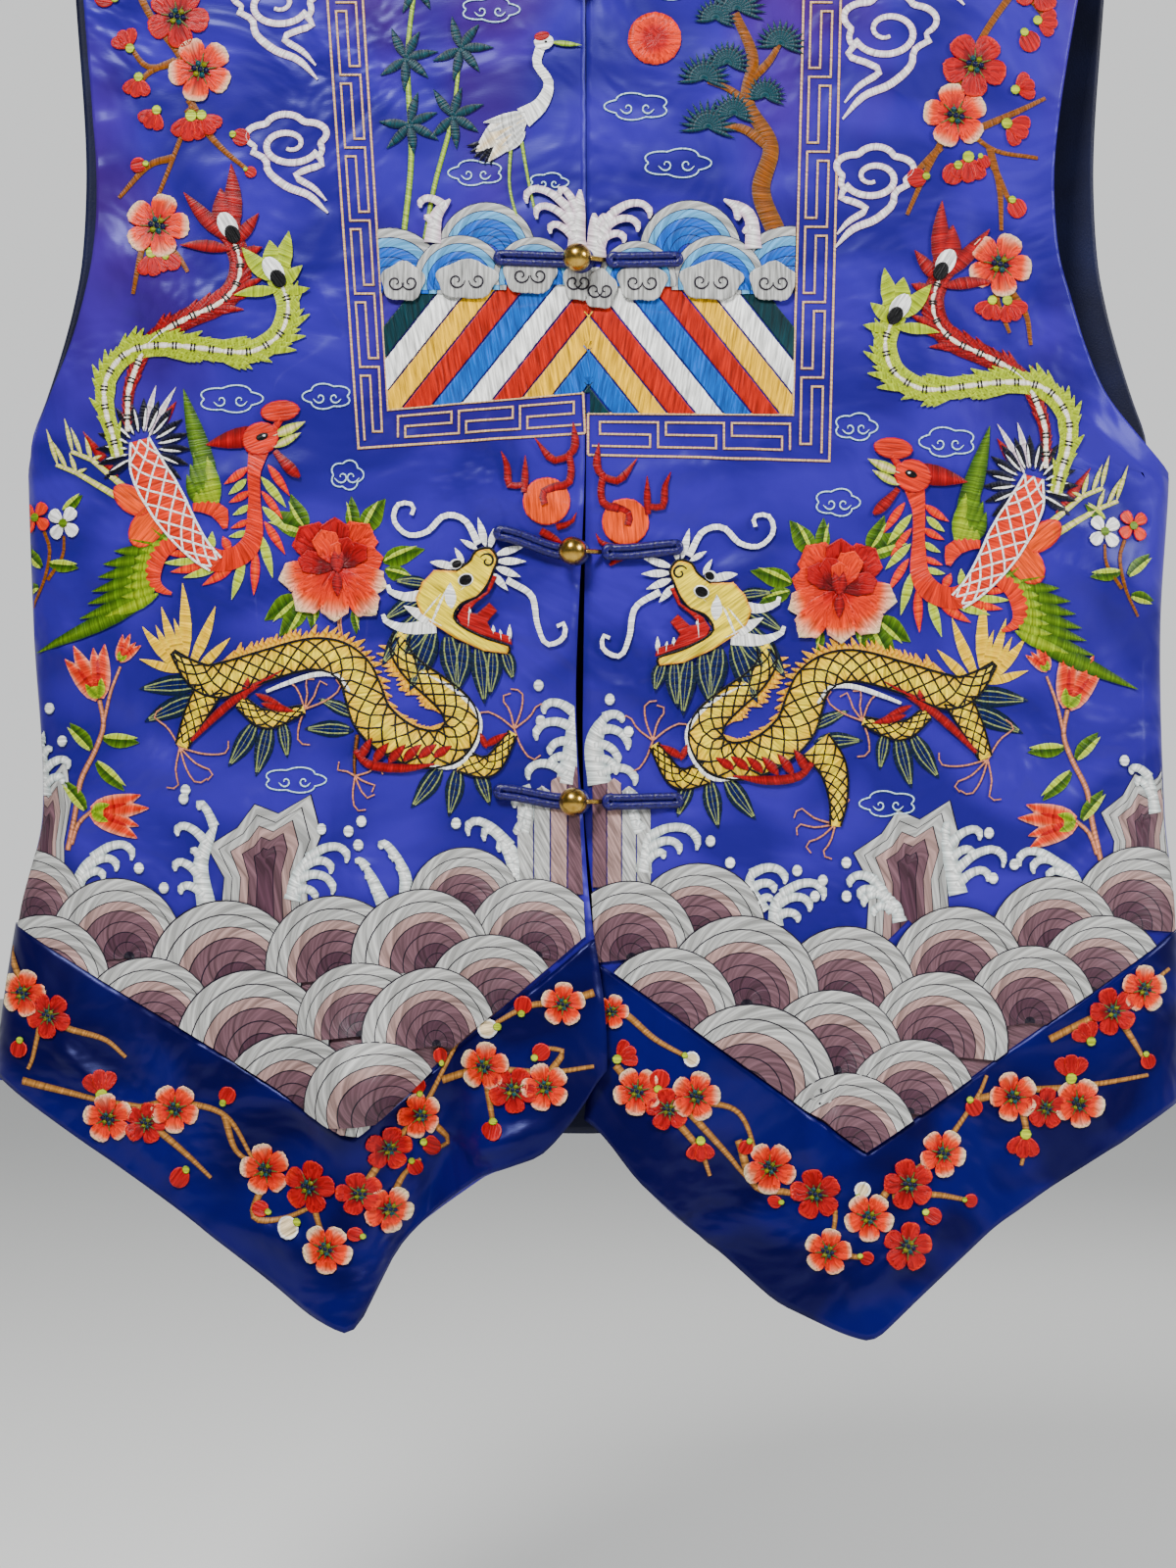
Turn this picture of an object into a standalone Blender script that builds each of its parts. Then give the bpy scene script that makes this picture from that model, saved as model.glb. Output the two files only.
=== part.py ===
"""Satin waistcoat with ball-and-loop closures, hung on a plain hanger.

Metres, +Z up. The origin is where the hanger's hook rests on its peg. The fronts face -Y.
Left and right are as seen by someone who looks at the fronts.
"""

import math
from collections import namedtuple

import bmesh
import bpy
from mathutils import Vector

# Cloth
SEAM_GAP = 0.0003
PANEL_THICK = 0.0015
BAND_THICK = 0.0010
LINING_THICK = 0.0008

# Shoulders and neck
NECK_POINT_Z = -0.095
NECK_HALF = 0.075
SHOULDER_SLOPE = 0.28
SHOULDER_ROLL = 0.014
FRONT_NECK_DROP = 0.084
BACK_NECK_DROP = 0.020

# Hems
UNDERARM_Z = -0.425
BACK_BAND_HEIGHT = 0.066
SECTION_POWER = 2.6

# Grid of a panel: rows in the band, in the body, and where the cloth rolls over the shoulder
FRONT_COLUMNS = 18
BACK_COLUMNS = 22
BAND_ROWS = 3
BODY_ROWS = 15
ROLL_ROWS = 3
ALL_ROWS = BAND_ROWS + BODY_ROWS + ROLL_ROWS
BAND_SHARE = BAND_ROWS / ALL_ROWS
BODY_SHARE = (BAND_ROWS + BODY_ROWS) / ALL_ROWS

# Closures: a cord loop on the left front, and a button on a cord bar on the right front
CLOSURE_HEIGHTS = (-0.2010, -0.3317, -0.4624, -0.5737)
CORD_RADIUS = 0.0017
BUTTON_RADIUS = 0.0063
BUTTON_LIFT = 0.0103
LOOP_REACH = 0.0415
BAR_REACH = 0.0400

# Hanger
ARM_RADIUS = 0.007
ARM_REACH = 0.200
ARM_CREST = 0.050
WIRE_RADIUS = 0.0022
HOOK_RADIUS = 0.022

LEFT, RIGHT = -1, 1

# Half widths of the flattened tube that the body makes, and how far each face stands from its
# middle plane. Above the underarm the widths are those of the tube that the armholes cut.
Section = namedtuple("Section", "z left right front back")
SECTIONS = (
    Section(-0.090, 0.262, 0.266, 0.017, 0.016),
    Section(-0.140, 0.262, 0.266, 0.021, 0.016),
    Section(-0.220, 0.261, 0.266, 0.028, 0.017),
    Section(-0.330, 0.258, 0.265, 0.033, 0.019),
    Section(-0.425, 0.2565, 0.2645, 0.036, 0.020),
    Section(-0.496, 0.254, 0.2605, 0.036, 0.020),
    Section(-0.579, 0.250, 0.2625, 0.036, 0.020),
    Section(-0.624, 0.260, 0.267, 0.039, 0.021),
    Section(-0.698, 0.270, 0.268, 0.043, 0.022),
    Section(-0.820, 0.272, 0.270, 0.046, 0.022),
)

# Distance of each armhole edge from the middle
Armhole = namedtuple("Armhole", "z left right back")
ARMHOLES = (
    Armhole(-0.090, 0.2350, 0.2400, 0.2420),
    Armhole(-0.140, 0.2340, 0.2350, 0.2410),
    Armhole(-0.214, 0.2288, 0.2200, 0.2360),
    Armhole(-0.264, 0.2245, 0.2116, 0.2325),
    Armhole(-0.293, 0.2226, 0.2090, 0.2320),
    Armhole(-0.326, 0.2238, 0.2110, 0.2340),
    Armhole(-0.348, 0.2288, 0.2170, 0.2380),
    Armhole(-0.369, 0.2355, 0.2235, 0.2435),
    Armhole(-0.390, 0.2446, 0.2330, 0.2500),
    Armhole(-0.407, 0.2515, 0.2470, 0.2555),
    Armhole(UNDERARM_Z, 0.2565, 0.2645, 0.2565),
)

# Centre-front edges. The left front laps over the right one below the last closure.
Opening = namedtuple("Opening", "z left right lap")
OPENING = (
    Opening(-0.170, -0.0022, -0.0017, 0.0),
    Opening(-0.416, -0.0022, -0.0017, 0.0),
    Opening(-0.518, -0.0062, -0.0030, 0.0),
    Opening(-0.548, -0.0057, -0.0032, 0.0),
    Opening(-0.579, -0.0031, -0.0024, 0.0),
    Opening(-0.599, -0.0018, -0.0006, 0.0008),
    Opening(-0.614, -0.0006, 0.0010, 0.0030),
    Opening(-0.630, 0.0013, 0.0022, 0.0050),
    Opening(-0.649, 0.0044, 0.0028, 0.0055),
    Opening(-0.667, 0.0066, 0.0024, 0.0055),
    Opening(-0.685, 0.0075, 0.0006, 0.0055),
    Opening(-0.715, 0.0070, -0.0026, 0.0055),
)

# Hem lines, from the centre front outwards
HemPoint = namedtuple("HemPoint", "x z")
LEFT_HEM = (
    HemPoint(-0.0075, -0.6905),
    HemPoint(0.0044, -0.7110),
    HemPoint(0.0206, -0.7300),
    HemPoint(0.0475, -0.7395),
    HemPoint(0.0647, -0.7530),
    HemPoint(0.0862, -0.7712),
    HemPoint(0.0950, -0.7890),
    HemPoint(0.1043, -0.8082),
    HemPoint(0.1250, -0.7985),
    HemPoint(0.1707, -0.7664),
    HemPoint(0.2143, -0.7347),
    HemPoint(0.2573, -0.7060),
    HemPoint(0.2700, -0.6965),
)
RIGHT_HEM = (
    HemPoint(-0.0030, -0.7135),
    HemPoint(0.0075, -0.7235),
    HemPoint(0.0211, -0.7415),
    HemPoint(0.0444, -0.7634),
    HemPoint(0.0581, -0.7750),
    HemPoint(0.0831, -0.7960),
    HemPoint(0.1104, -0.8080),
    HemPoint(0.1245, -0.8122),
    HemPoint(0.1421, -0.7960),
    HemPoint(0.1808, -0.7634),
    HemPoint(0.2297, -0.7321),
    HemPoint(0.2640, -0.7110),
    HemPoint(0.2700, -0.7080),
)
BACK_HEM = (
    HemPoint(0.0, -0.7277),
    HemPoint(0.1200, -0.7250),
    HemPoint(0.2200, -0.7120),
    HemPoint(0.2700, -0.7010),
)

# Top edge of each front's applied band: a shallow V over the hem's point
LEFT_BAND_TOP = (
    HemPoint(-0.0020, -0.6340),
    HemPoint(0.1043, -0.7220),
    HemPoint(0.2630, -0.6280),
    HemPoint(0.2700, -0.6250),
)
RIGHT_BAND_TOP = (
    HemPoint(0.0030, -0.6450),
    HemPoint(0.1225, -0.7295),
    HemPoint(0.2630, -0.6340),
    HemPoint(0.2700, -0.6310),
)

# The largest folds: a ridge or trough along a line, with its half width and its height outwards at each end
Fold = namedtuple("Fold", "x0 z0 x1 z1 half rise0 rise1")
LEFT_FOLDS = (
    Fold(-0.090, -0.470, -0.104, -0.700, 0.022, 0.000, 0.012),
    Fold(-0.104, -0.700, -0.110, -0.830, 0.022, 0.012, 0.022),
    Fold(-0.066, -0.560, -0.072, -0.830, 0.020, 0.000, -0.018),
    Fold(-0.160, -0.560, -0.190, -0.800, 0.030, 0.000, -0.008),
    Fold(-0.040, -0.640, -0.034, -0.760, 0.016, 0.000, 0.006),
    Fold(-0.215, -0.330, -0.120, -0.400, 0.018, 0.004, 0.000),
)
RIGHT_FOLDS = (
    Fold(0.130, -0.600, 0.126, -0.830, 0.030, 0.000, 0.012),
    Fold(0.075, -0.660, 0.058, -0.800, 0.020, 0.000, -0.012),
    Fold(0.185, -0.600, 0.200, -0.780, 0.026, 0.000, -0.009),
    Fold(0.250, -0.480, 0.170, -0.430, 0.014, 0.005, 0.000),
    Fold(0.032, -0.650, 0.026, -0.760, 0.016, 0.000, 0.006),
)
BACK_FOLDS = (
    Fold(-0.150, -0.300, -0.175, -0.740, 0.040, 0.002, 0.010),
    Fold(-0.060, -0.200, -0.050, -0.740, 0.036, 0.001, -0.007),
    Fold(0.060, -0.260, 0.075, -0.740, 0.040, 0.002, 0.009),
    Fold(0.160, -0.320, 0.185, -0.740, 0.036, 0.000, -0.006),
)


def smooth_step(share):
    share = min(max(share, 0.0), 1.0)
    return share * share * (3 - 2 * share)


def read_row(rows, at, column, key="z"):
    """The value of a column where key is at, on a smooth curve through the rows."""
    keys = [getattr(row, key) for row in rows]
    values = [getattr(row, column) for row in rows]
    if keys[0] > keys[-1]:
        keys.reverse()
        values.reverse()
    at = min(max(at, keys[0]), keys[-1])
    low = max(i for i in range(len(keys) - 1) if keys[i] <= at)
    slopes = []
    for i in (low, low + 1):
        before, after = max(i - 1, 0), min(i + 1, len(keys) - 1)
        slopes.append((values[after] - values[before]) / (keys[after] - keys[before]))
    span = keys[low + 1] - keys[low]
    t = (at - keys[low]) / span
    return (
        values[low] * (1 + 2 * t) * (1 - t) ** 2
        + values[low + 1] * t * t * (3 - 2 * t)
        + span * (slopes[0] * t * (1 - t) ** 2 - slopes[1] * t * t * (1 - t))
    )


def read_line(points, at):
    """The height of a line of points at a distance from the middle, straight between them."""
    at = min(max(at, points[0].x), points[-1].x)
    for first, second in zip(points, points[1:]):
        if at <= second.x:
            share = (at - first.x) / (second.x - first.x)
            return first.z + (second.z - first.z) * share
    return points[-1].z


def side_name(side):
    return "left" if side == LEFT else "right"


def shoulder_line(x):
    return NECK_POINT_Z - SHOULDER_SLOPE * (abs(x) - NECK_HALF)


def fold_rise(folds, x, z):
    """How far the folds push the cloth outwards at a point of a face."""
    rise = 0.0
    for fold in folds:
        along_x, along_z = fold.x1 - fold.x0, fold.z1 - fold.z0
        length_squared = along_x**2 + along_z**2
        t = ((x - fold.x0) * along_x + (z - fold.z0) * along_z) / length_squared
        on = min(max(t, 0.0), 1.0)
        off = math.hypot(x - fold.x0 - on * along_x, z - fold.z0 - on * along_z)
        height = fold.rise0 + (fold.rise1 - fold.rise0) * smooth_step(on)
        rise += height * math.exp(-((off / fold.half) ** 2))
    return rise


def face_depth(face, x, z):
    """How far a face, front or back, stands from the middle plane, and how firmly its seams hold it there."""
    half = read_row(SECTIONS, z, "left" if x < 0 else "right")
    share = min(abs(x) / half, 1.0)
    bow = (1 - share**SECTION_POWER) ** (1 / SECTION_POWER)
    below = min(max(shoulder_line(x) - z, 0.0) / SHOULDER_ROLL, 1.0)
    roll = math.sqrt(1 - (1 - below) ** 2)
    freedom = smooth_step(bow / 0.6) * smooth_step((shoulder_line(x) - z) / 0.10)
    return read_row(SECTIONS, z, face) * bow * roll, freedom


def column_x(side, edge_column, s, z):
    """Where a column of a panel lies at a height. s runs from 0 at the middle to 1 at the side seam or armhole."""
    half = read_row(SECTIONS, z, side_name(side))
    reach = 1.0
    if z > UNDERARM_Z:
        edge = min(read_row(ARMHOLES, z, edge_column), half)
        reach = math.asin(edge / half) / (math.pi / 2)
    return side * half * math.sin(s * reach * math.pi / 2)


def top_height(side, edge_column, neck_drop, s):
    """Height of the neckline or shoulder seam at a column, and how far the cloth is rolled there."""
    half = read_row(SECTIONS, NECK_POINT_Z, side_name(side))
    edge = read_row(ARMHOLES, NECK_POINT_Z, edge_column)
    neck_s = math.asin(NECK_HALF / half) / math.asin(edge / half)
    if s < neck_s:
        height = NECK_POINT_Z - neck_drop * math.cos(s / neck_s * math.pi / 2)
        return height, smooth_step(4 * s / neck_s - 3)
    z = NECK_POINT_Z
    for _ in range(12):
        z = min(shoulder_line(column_x(side, edge_column, s, z)), NECK_POINT_Z)
    return z, 1.0


def row_height(bottom, band_top, top, t, rolled):
    """Height of a row. The last rows close up as far as the cloth is rolled, over the shoulder."""
    if t <= BAND_SHARE:
        return bottom + (band_top - bottom) * t / BAND_SHARE
    if t <= BODY_SHARE:
        return band_top + (top - SHOULDER_ROLL - band_top) * (t - BAND_SHARE) / (BODY_SHARE - BAND_SHARE)
    left = (1 - t) / (1 - BODY_SHARE)
    closed_up = 1 - math.cos(left * math.pi / 2)
    return top - SHOULDER_ROLL * (left + (closed_up - left) * rolled)


def front_point(side, s, t):
    """A point of a front's outer face. s runs from the opening to the side, t from the hem to the top."""
    name = side_name(side)
    hem, folds = (LEFT_HEM, LEFT_FOLDS) if side == LEFT else (RIGHT_HEM, RIGHT_FOLDS)
    band_line = LEFT_BAND_TOP if side == LEFT else RIGHT_BAND_TOP

    def across(z):
        edge = read_row(OPENING, z, name)
        return edge * max(1 - s / 0.22, 0.0) ** 2 + column_x(side, name, s, z)

    low = band_top = -0.70
    for _ in range(3):
        low = read_line(hem, side * across(low))
        band_top = read_line(band_line, side * across(band_top))
    top, rolled = top_height(side, name, FRONT_NECK_DROP, s)
    z = row_height(low, band_top, top, t, rolled)
    x = across(z)
    depth, freedom = face_depth("front", x, z)
    depth += fold_rise(folds, x, z) * freedom
    if side == LEFT:
        depth += read_row(OPENING, z, "lap") * (1 - smooth_step(abs(x) / 0.07))
    return x, -SEAM_GAP / 2 - depth, z


def back_point(s, t):
    """A point of the back's outer face. s runs from -1 at the left side to 1 at the right one."""
    side = LEFT if s < 0 else RIGHT
    low = read_line(BACK_HEM, abs(column_x(side, "back", abs(s), -0.72)))
    top, rolled = top_height(side, "back", BACK_NECK_DROP, abs(s))
    z = row_height(low, low + BACK_BAND_HEIGHT, top, t, rolled)
    x = column_x(side, "back", abs(s), z)
    depth, freedom = face_depth("back", x, z)
    depth += fold_rise(BACK_FOLDS, x, z) * freedom
    return x, SEAM_GAP / 2 + depth, z


def outward(point_at, s, t, low_s, high_s, sense):
    """Unit normal of a face at a point. sense turns it outwards: -1 where s runs to the left or on the back."""
    step = 1e-3
    s0, s1 = max(s - step, low_s), min(s + step, high_s)
    t0, t1 = max(t - step, 0.0), min(t + step, 1.0)
    (ax, ay, az), (bx, by, bz) = [
        [(second - first) / step for first, second in zip(start, end)]
        for start, end in ((point_at(s0, t), point_at(s1, t)), (point_at(s, t0), point_at(s, t1)))
    ]
    normal = Vector((ay * bz - az * by, az * bx - ax * bz, ax * by - ay * bx))
    return normal.normalized() * sense


def material(name, colour, roughness, metallic=0.0):
    made = bpy.data.materials.new(name)
    made.use_nodes = True
    shader = made.node_tree.nodes["Principled BSDF"]
    shader.inputs["Base Color"].default_value = (*colour, 1.0)
    shader.inputs["Roughness"].default_value = roughness
    shader.inputs["Metallic"].default_value = metallic
    return made


def add_object(name, data, finish):
    made = bpy.data.objects.new(name, data)
    data.materials.append(finish)
    bpy.context.scene.collection.objects.link(made)
    return made


def cloth_wall(name, finish, point_at, columns, rows, s_range, t_range, offset, thick, sense):
    """A panel of cloth: a grid laid on a face, moved out by offset, and given its thickness inwards."""
    bm = bmesh.new()
    bmesh.ops.create_grid(bm, x_segments=columns, y_segments=rows, size=1.0)
    inner = bm.verts.layers.float_vector.new("inner")
    for vert in bm.verts:
        s = s_range[0] + (s_range[1] - s_range[0]) * (vert.co.x + 1) / 2
        t = t_range[0] + (t_range[1] - t_range[0]) * (vert.co.y + 1) / 2
        point = Vector(point_at(s, t))
        normal = outward(point_at, s, t, s_range[0], s_range[1], sense)
        vert.co = point + normal * offset
        vert[inner] = point + normal * (offset - thick)
    made = bmesh.ops.extrude_face_region(bm, geom=bm.faces[:], use_keep_orig=True)
    for vert in [part for part in made["geom"] if isinstance(part, bmesh.types.BMVert)]:
        vert.co = vert[inner]
    bm.verts.layers.float_vector.remove(inner)
    bmesh.ops.recalc_face_normals(bm, faces=bm.faces[:])
    mesh = bpy.data.meshes.new(name)
    bm.to_mesh(mesh)
    bm.free()
    mesh.shade_smooth()
    return add_object(name, mesh, finish)


def build_front(side, satin, band_satin):
    name = side_name(side)

    def on_panel(s, t):
        return front_point(side, s, t)

    whole, band = (0.0, 1.0), (0.0, BAND_SHARE)
    lift = SEAM_GAP + BAND_THICK
    cloth_wall(f"front_{name}", satin, on_panel, FRONT_COLUMNS, ALL_ROWS, whole, whole, 0.0, PANEL_THICK, side)
    cloth_wall(f"band_{name}", band_satin, on_panel, FRONT_COLUMNS, BAND_ROWS, whole, band, lift, BAND_THICK, side)


def build_back(satin, band_satin, lining):
    across, whole, band = (-1.0, 1.0), (0.0, 1.0), (0.0, BAND_SHARE)
    lift, inside = SEAM_GAP + BAND_THICK, -PANEL_THICK - SEAM_GAP
    cloth_wall("back", satin, back_point, BACK_COLUMNS, ALL_ROWS, across, whole, 0.0, PANEL_THICK, -1)
    cloth_wall("band_back", band_satin, back_point, BACK_COLUMNS, BAND_ROWS, across, band, lift, BAND_THICK, -1)
    cloth_wall("lining_back", lining, back_point, BACK_COLUMNS, ALL_ROWS, across, whole, inside, LINING_THICK, -1)


def tube(name, finish, points, radius, closed, sides):
    """A round cord, wire or bar along points. sides is 4 more than twice the bevel's resolution."""
    curve = bpy.data.curves.new(name, "CURVE")
    curve.dimensions = "3D"
    curve.bevel_depth = radius
    curve.bevel_resolution = (sides - 4) // 2
    curve.use_fill_caps = not closed
    line = curve.splines.new("POLY")
    line.points.add(len(points) - 1)
    for spot, point in zip(line.points, points):
        spot.co = (*point, 1.0)
    line.use_cyclic_u = closed
    return add_object(name, curve, finish)


def on_front(x, z, lift):
    """A point at a height over the fronts' outer face, near the opening."""
    depth, _ = face_depth("front", x, z)
    return Vector((x, -SEAM_GAP / 2 - depth - lift, z))


def cord_outline(folded, eye, waist, eye_radius):
    """The centre line of a doubled cord: two runs side by side, folded at one end and open in an eye at the other.

    folded and eye are the ends along x. waist is half the distance between the runs."""
    way = 1 if eye > folded else -1
    length = abs(eye - folded)
    half = []
    for i in range(3):
        turn = math.radians(15 + 30 * i)
        half.append((waist * (1 - math.cos(turn)), waist * math.sin(turn)))
    neck = length - 2 * eye_radius - 0.004
    for i in range(4):
        half.append((waist + (neck - waist) * (i + 0.5) / 4, waist))
    for i in range(5):
        turn = math.radians(150 - 33 * i)
        reach = max(eye_radius * math.sin(turn), waist if i == 0 else 0.0)
        half.append((length - eye_radius + eye_radius * math.cos(turn), reach))
    points = [(folded + way * along, across) for along, across in half]
    return points + [(x, -across) for x, across in reversed(points)]


def build_closures(cord_cloth, brass):
    rest = CORD_RADIUS + SEAM_GAP
    apart = CORD_RADIUS + 0.0003
    for number, height in enumerate(CLOSURE_HEIGHTS, 1):
        middle = read_row(OPENING, height, "left")
        ball = middle - 0.0040
        outlines = (
            (f"loop_{number}", -LOOP_REACH, ball + 0.0060, 0.0042),
            (f"bar_{number}", BAR_REACH, ball + 0.0145, 0.0021),
        )
        for name, folded, eye, eye_radius in outlines:
            line = cord_outline(folded, eye, apart, eye_radius)
            cord = [on_front(x, height + across, rest) for x, across in line]
            tube(name, cord_cloth, cord, CORD_RADIUS, True, 6)
        build_button(number, height, ball, brass)


def build_button(number, height, ball_x, brass):
    """A brass ball. Its shank goes over the end of the loop to the eye of the bar."""
    centre = on_front(ball_x, height, BUTTON_LIFT)
    start = on_front(ball_x + 0.0040, height, BUTTON_LIFT - 0.0003)
    end = on_front(ball_x + 0.0123, height, 0.0027)
    bm = bmesh.new()
    bmesh.ops.create_uvsphere(bm, u_segments=14, v_segments=9, radius=BUTTON_RADIUS)
    bmesh.ops.translate(bm, verts=bm.verts[:], vec=centre)
    ball = bpy.data.meshes.new(f"button_{number}")
    bm.to_mesh(ball)
    bm.free()
    ball.shade_smooth()
    button = add_object(f"button_{number}", ball, brass)

    run = end - start
    bm = bmesh.new()
    bmesh.ops.create_cone(bm, cap_ends=True, segments=8, radius1=0.0011, radius2=0.0011, depth=run.length)
    bmesh.ops.rotate(bm, verts=bm.verts[:], matrix=run.to_track_quat("Z", "Y").to_matrix())
    bmesh.ops.translate(bm, verts=bm.verts[:], vec=(start + end) / 2)
    shank = bpy.data.meshes.new(f"shank_{number}")
    bm.to_mesh(shank)
    bm.free()
    helper = add_object(f"shank_{number}", shank, brass)
    helper.hide_render = True
    helper.display_type = "WIRE"
    join = button.modifiers.new("shank", "BOOLEAN")
    join.operation = "UNION"
    join.object = helper


def arm_centre(x):
    """The hanger's arms follow the shoulder seams, and meet in a low crest under the neck."""
    clearance = PANEL_THICK + LINING_THICK + 2 * SEAM_GAP + ARM_RADIUS
    under = clearance * math.hypot(1, SHOULDER_SLOPE)
    return NECK_POINT_Z - SHOULDER_SLOPE * (math.hypot(x, ARM_CREST) - NECK_HALF) - under


def build_hanger(wood, steel):
    count = 17
    steps = [2 * i / (count - 1) - 1 for i in range(count)]
    arms = [(step * ARM_REACH, 0.0, arm_centre(step * ARM_REACH)) for step in steps]
    tube("hanger", wood, arms, ARM_RADIUS, False, 12)

    foot = arm_centre(0) + ARM_RADIUS + SEAM_GAP
    centre_z = -HOOK_RADIUS + WIRE_RADIUS
    route = [(0.0, foot), (0.0, -0.062), (0.0015, -0.054), (0.0060, -0.0465)]
    turns = 12
    for i in range(turns + 1):
        angle = math.radians(-52 + 257 * i / turns)
        route.append((HOOK_RADIUS * math.cos(angle), centre_z + HOOK_RADIUS * math.sin(angle)))
    wire = [(x, 0.0, z) for x, z in route]
    tube("hanger_hook", steel, wire, WIRE_RADIUS, False, 8)


def main():
    for old in list(bpy.data.objects):
        bpy.data.objects.remove(old)
    satin = material("satin", (0.045, 0.055, 0.42), 0.35)
    band_satin = material("band_satin", (0.012, 0.015, 0.26), 0.32)
    lining = material("lining", (0.012, 0.022, 0.090), 0.45)
    cord_cloth = material("cord_cloth", (0.020, 0.018, 0.20), 0.45)
    brass = material("brass", (0.60, 0.46, 0.13), 0.22, 1.0)
    wood = material("hanger_wood", (0.42, 0.27, 0.14), 0.45)
    steel = material("hook_steel", (0.60, 0.60, 0.62), 0.28, 1.0)
    for side in (LEFT, RIGHT):
        build_front(side, satin, band_satin)
    build_back(satin, band_satin, lining)
    build_closures(cord_cloth, brass)
    build_hanger(wood, steel)


main()
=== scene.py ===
# %% [markdown]
# # An embroidered satin vest on a hanger
# This lesson dresses the plain solids of a vest: satin cloth with its creases, silk embroidery,
# cord closures with brass balls, and a light set-up. The solids come in from model.glb, and every
# new piece is placed in the same metres. The vest hangs from the origin and its fronts face -Y.

# %% Load the solids
import math
import random

import bmesh
import bpy
import numpy as np
from mathutils import Matrix, Vector


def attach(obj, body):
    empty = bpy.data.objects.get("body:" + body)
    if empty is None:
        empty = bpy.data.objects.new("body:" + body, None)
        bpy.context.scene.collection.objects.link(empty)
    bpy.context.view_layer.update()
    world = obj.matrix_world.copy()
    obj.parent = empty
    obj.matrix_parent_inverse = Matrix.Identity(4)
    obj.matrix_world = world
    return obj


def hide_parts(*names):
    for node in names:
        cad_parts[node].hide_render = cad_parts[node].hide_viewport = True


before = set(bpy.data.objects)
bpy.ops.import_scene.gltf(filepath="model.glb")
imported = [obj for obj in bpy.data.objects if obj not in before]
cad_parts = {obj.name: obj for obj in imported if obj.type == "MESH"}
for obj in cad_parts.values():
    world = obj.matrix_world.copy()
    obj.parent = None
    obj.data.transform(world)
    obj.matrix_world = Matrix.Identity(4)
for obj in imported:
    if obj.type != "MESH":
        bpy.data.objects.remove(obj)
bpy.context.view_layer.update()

# %% [markdown]
# ## The form of the cloth
# Real cloth hangs in a flattened tube, so each panel is a face that stands some way off a middle
# plane. A table gives the half widths and the standing off at a few heights, and a smooth curve
# runs between its rows. NumPy works out whole arrays of points at once, which keeps a fine grid fast.

# %% Tables of the form, in millimetres


def table(columns, *rows):
    """Named columns in metres, from rows in millimetres that run downwards or outwards."""
    return dict(zip(columns.split(), np.array(rows).T / 1000))


SECTIONS = table(
    "z left right front back",
    (-90, 262, 266, 17, 16),
    (-140, 262, 266, 21, 16),
    (-220, 261, 266, 28, 17),
    (-330, 258, 265, 33, 19),
    (-425, 256.5, 264.5, 36, 20),
    (-496, 254, 260.5, 36, 20),
    (-579, 250, 262.5, 36, 20),
    (-624, 260, 267, 39, 21),
    (-698, 270, 268, 43, 22),
    (-820, 272, 270, 46, 22),
)
ARMHOLES = table(
    "z left right back",
    (-90, 235, 240, 242),
    (-140, 234, 235, 241),
    (-214, 228.8, 220, 236),
    (-264, 224.5, 211.6, 232.5),
    (-293, 222.6, 209, 232),
    (-326, 223.8, 211, 234),
    (-348, 228.8, 217, 238),
    (-369, 235.5, 223.5, 243.5),
    (-390, 244.6, 233, 250),
    (-407, 251.5, 247, 255.5),
    (-425, 256.5, 264.5, 256.5),
)
OPENING = table(
    "z left right lap",
    (-170, -2.2, -1.7, 0),
    (-416, -2.2, -1.7, 0),
    (-518, -6.2, -3, 0),
    (-548, -5.7, -3.2, 0),
    (-579, -3.1, -2.4, 0),
    (-599, -1.8, -0.6, 0.8),
    (-614, -0.6, 1, 3),
    (-630, 1.3, 2.2, 5),
    (-649, 4.4, 2.8, 5.5),
    (-667, 6.6, 2.4, 5.5),
    (-685, 7.5, 0.6, 5.5),
    (-715, 7, -2.6, 5.5),
)
HEMS = {
    "left": table(
        "x z",
        (-7.5, -690.5), (4.4, -711), (20.6, -730), (47.5, -739.5), (64.7, -753),
        (86.2, -771.2), (95, -789), (104.3, -808.2), (125, -798.5), (170.7, -766.4),
        (214.3, -734.7), (257.3, -706), (270, -696.5),
    ),
    "right": table(
        "x z",
        (-3, -713.5), (7.5, -723.5), (21.1, -741.5), (44.4, -763.4), (58.1, -775),
        (83.1, -796), (110.4, -808), (124.5, -812.2), (142.1, -796), (180.8, -763.4),
        (229.7, -732.1), (264, -711), (270, -708),
    ),
    "back": table("x z", (0, -727.7), (120, -725), (220, -712), (270, -701)),
}
BAND_TOPS = {
    "left": table("x z", (-2, -634), (104.3, -722), (263, -628), (270, -625)),
    "right": table("x z", (3, -645), (122.5, -729.5), (263, -634), (270, -631)),
}
SEAM_GAP, PANEL_THICK, BAND_THICK, LINING_THICK = 0.0003, 0.0015, 0.0010, 0.0008
NECK_POINT_Z, NECK_HALF, SHOULDER_SLOPE, SHOULDER_ROLL = -0.095, 0.075, 0.28, 0.014
FRONT_NECK_DROP, BACK_NECK_DROP, UNDERARM_Z = 0.084, 0.020, -0.425
BACK_BAND_HEIGHT, SECTION_POWER = 0.066, 2.6
BAND_SHARE, BODY_SHARE = 3 / 21, 18 / 21
print("sections", len(SECTIONS["z"]), "tip of the left hem", HEMS["left"]["z"].min())

# %% [markdown]
# ## Folds and creases
# Hung cloth shows a few soft folds that start at a point of strain and open out below, and some
# short sharp creases from storage. Each is a row: a line on the front, its half width, and how far
# it stands out at its two ends. A negative rise is a trough. A Gauss curve across the line keeps
# each one soft. A displacement texture would be quicker, but it can't put a fold where the real
# one is.

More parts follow.
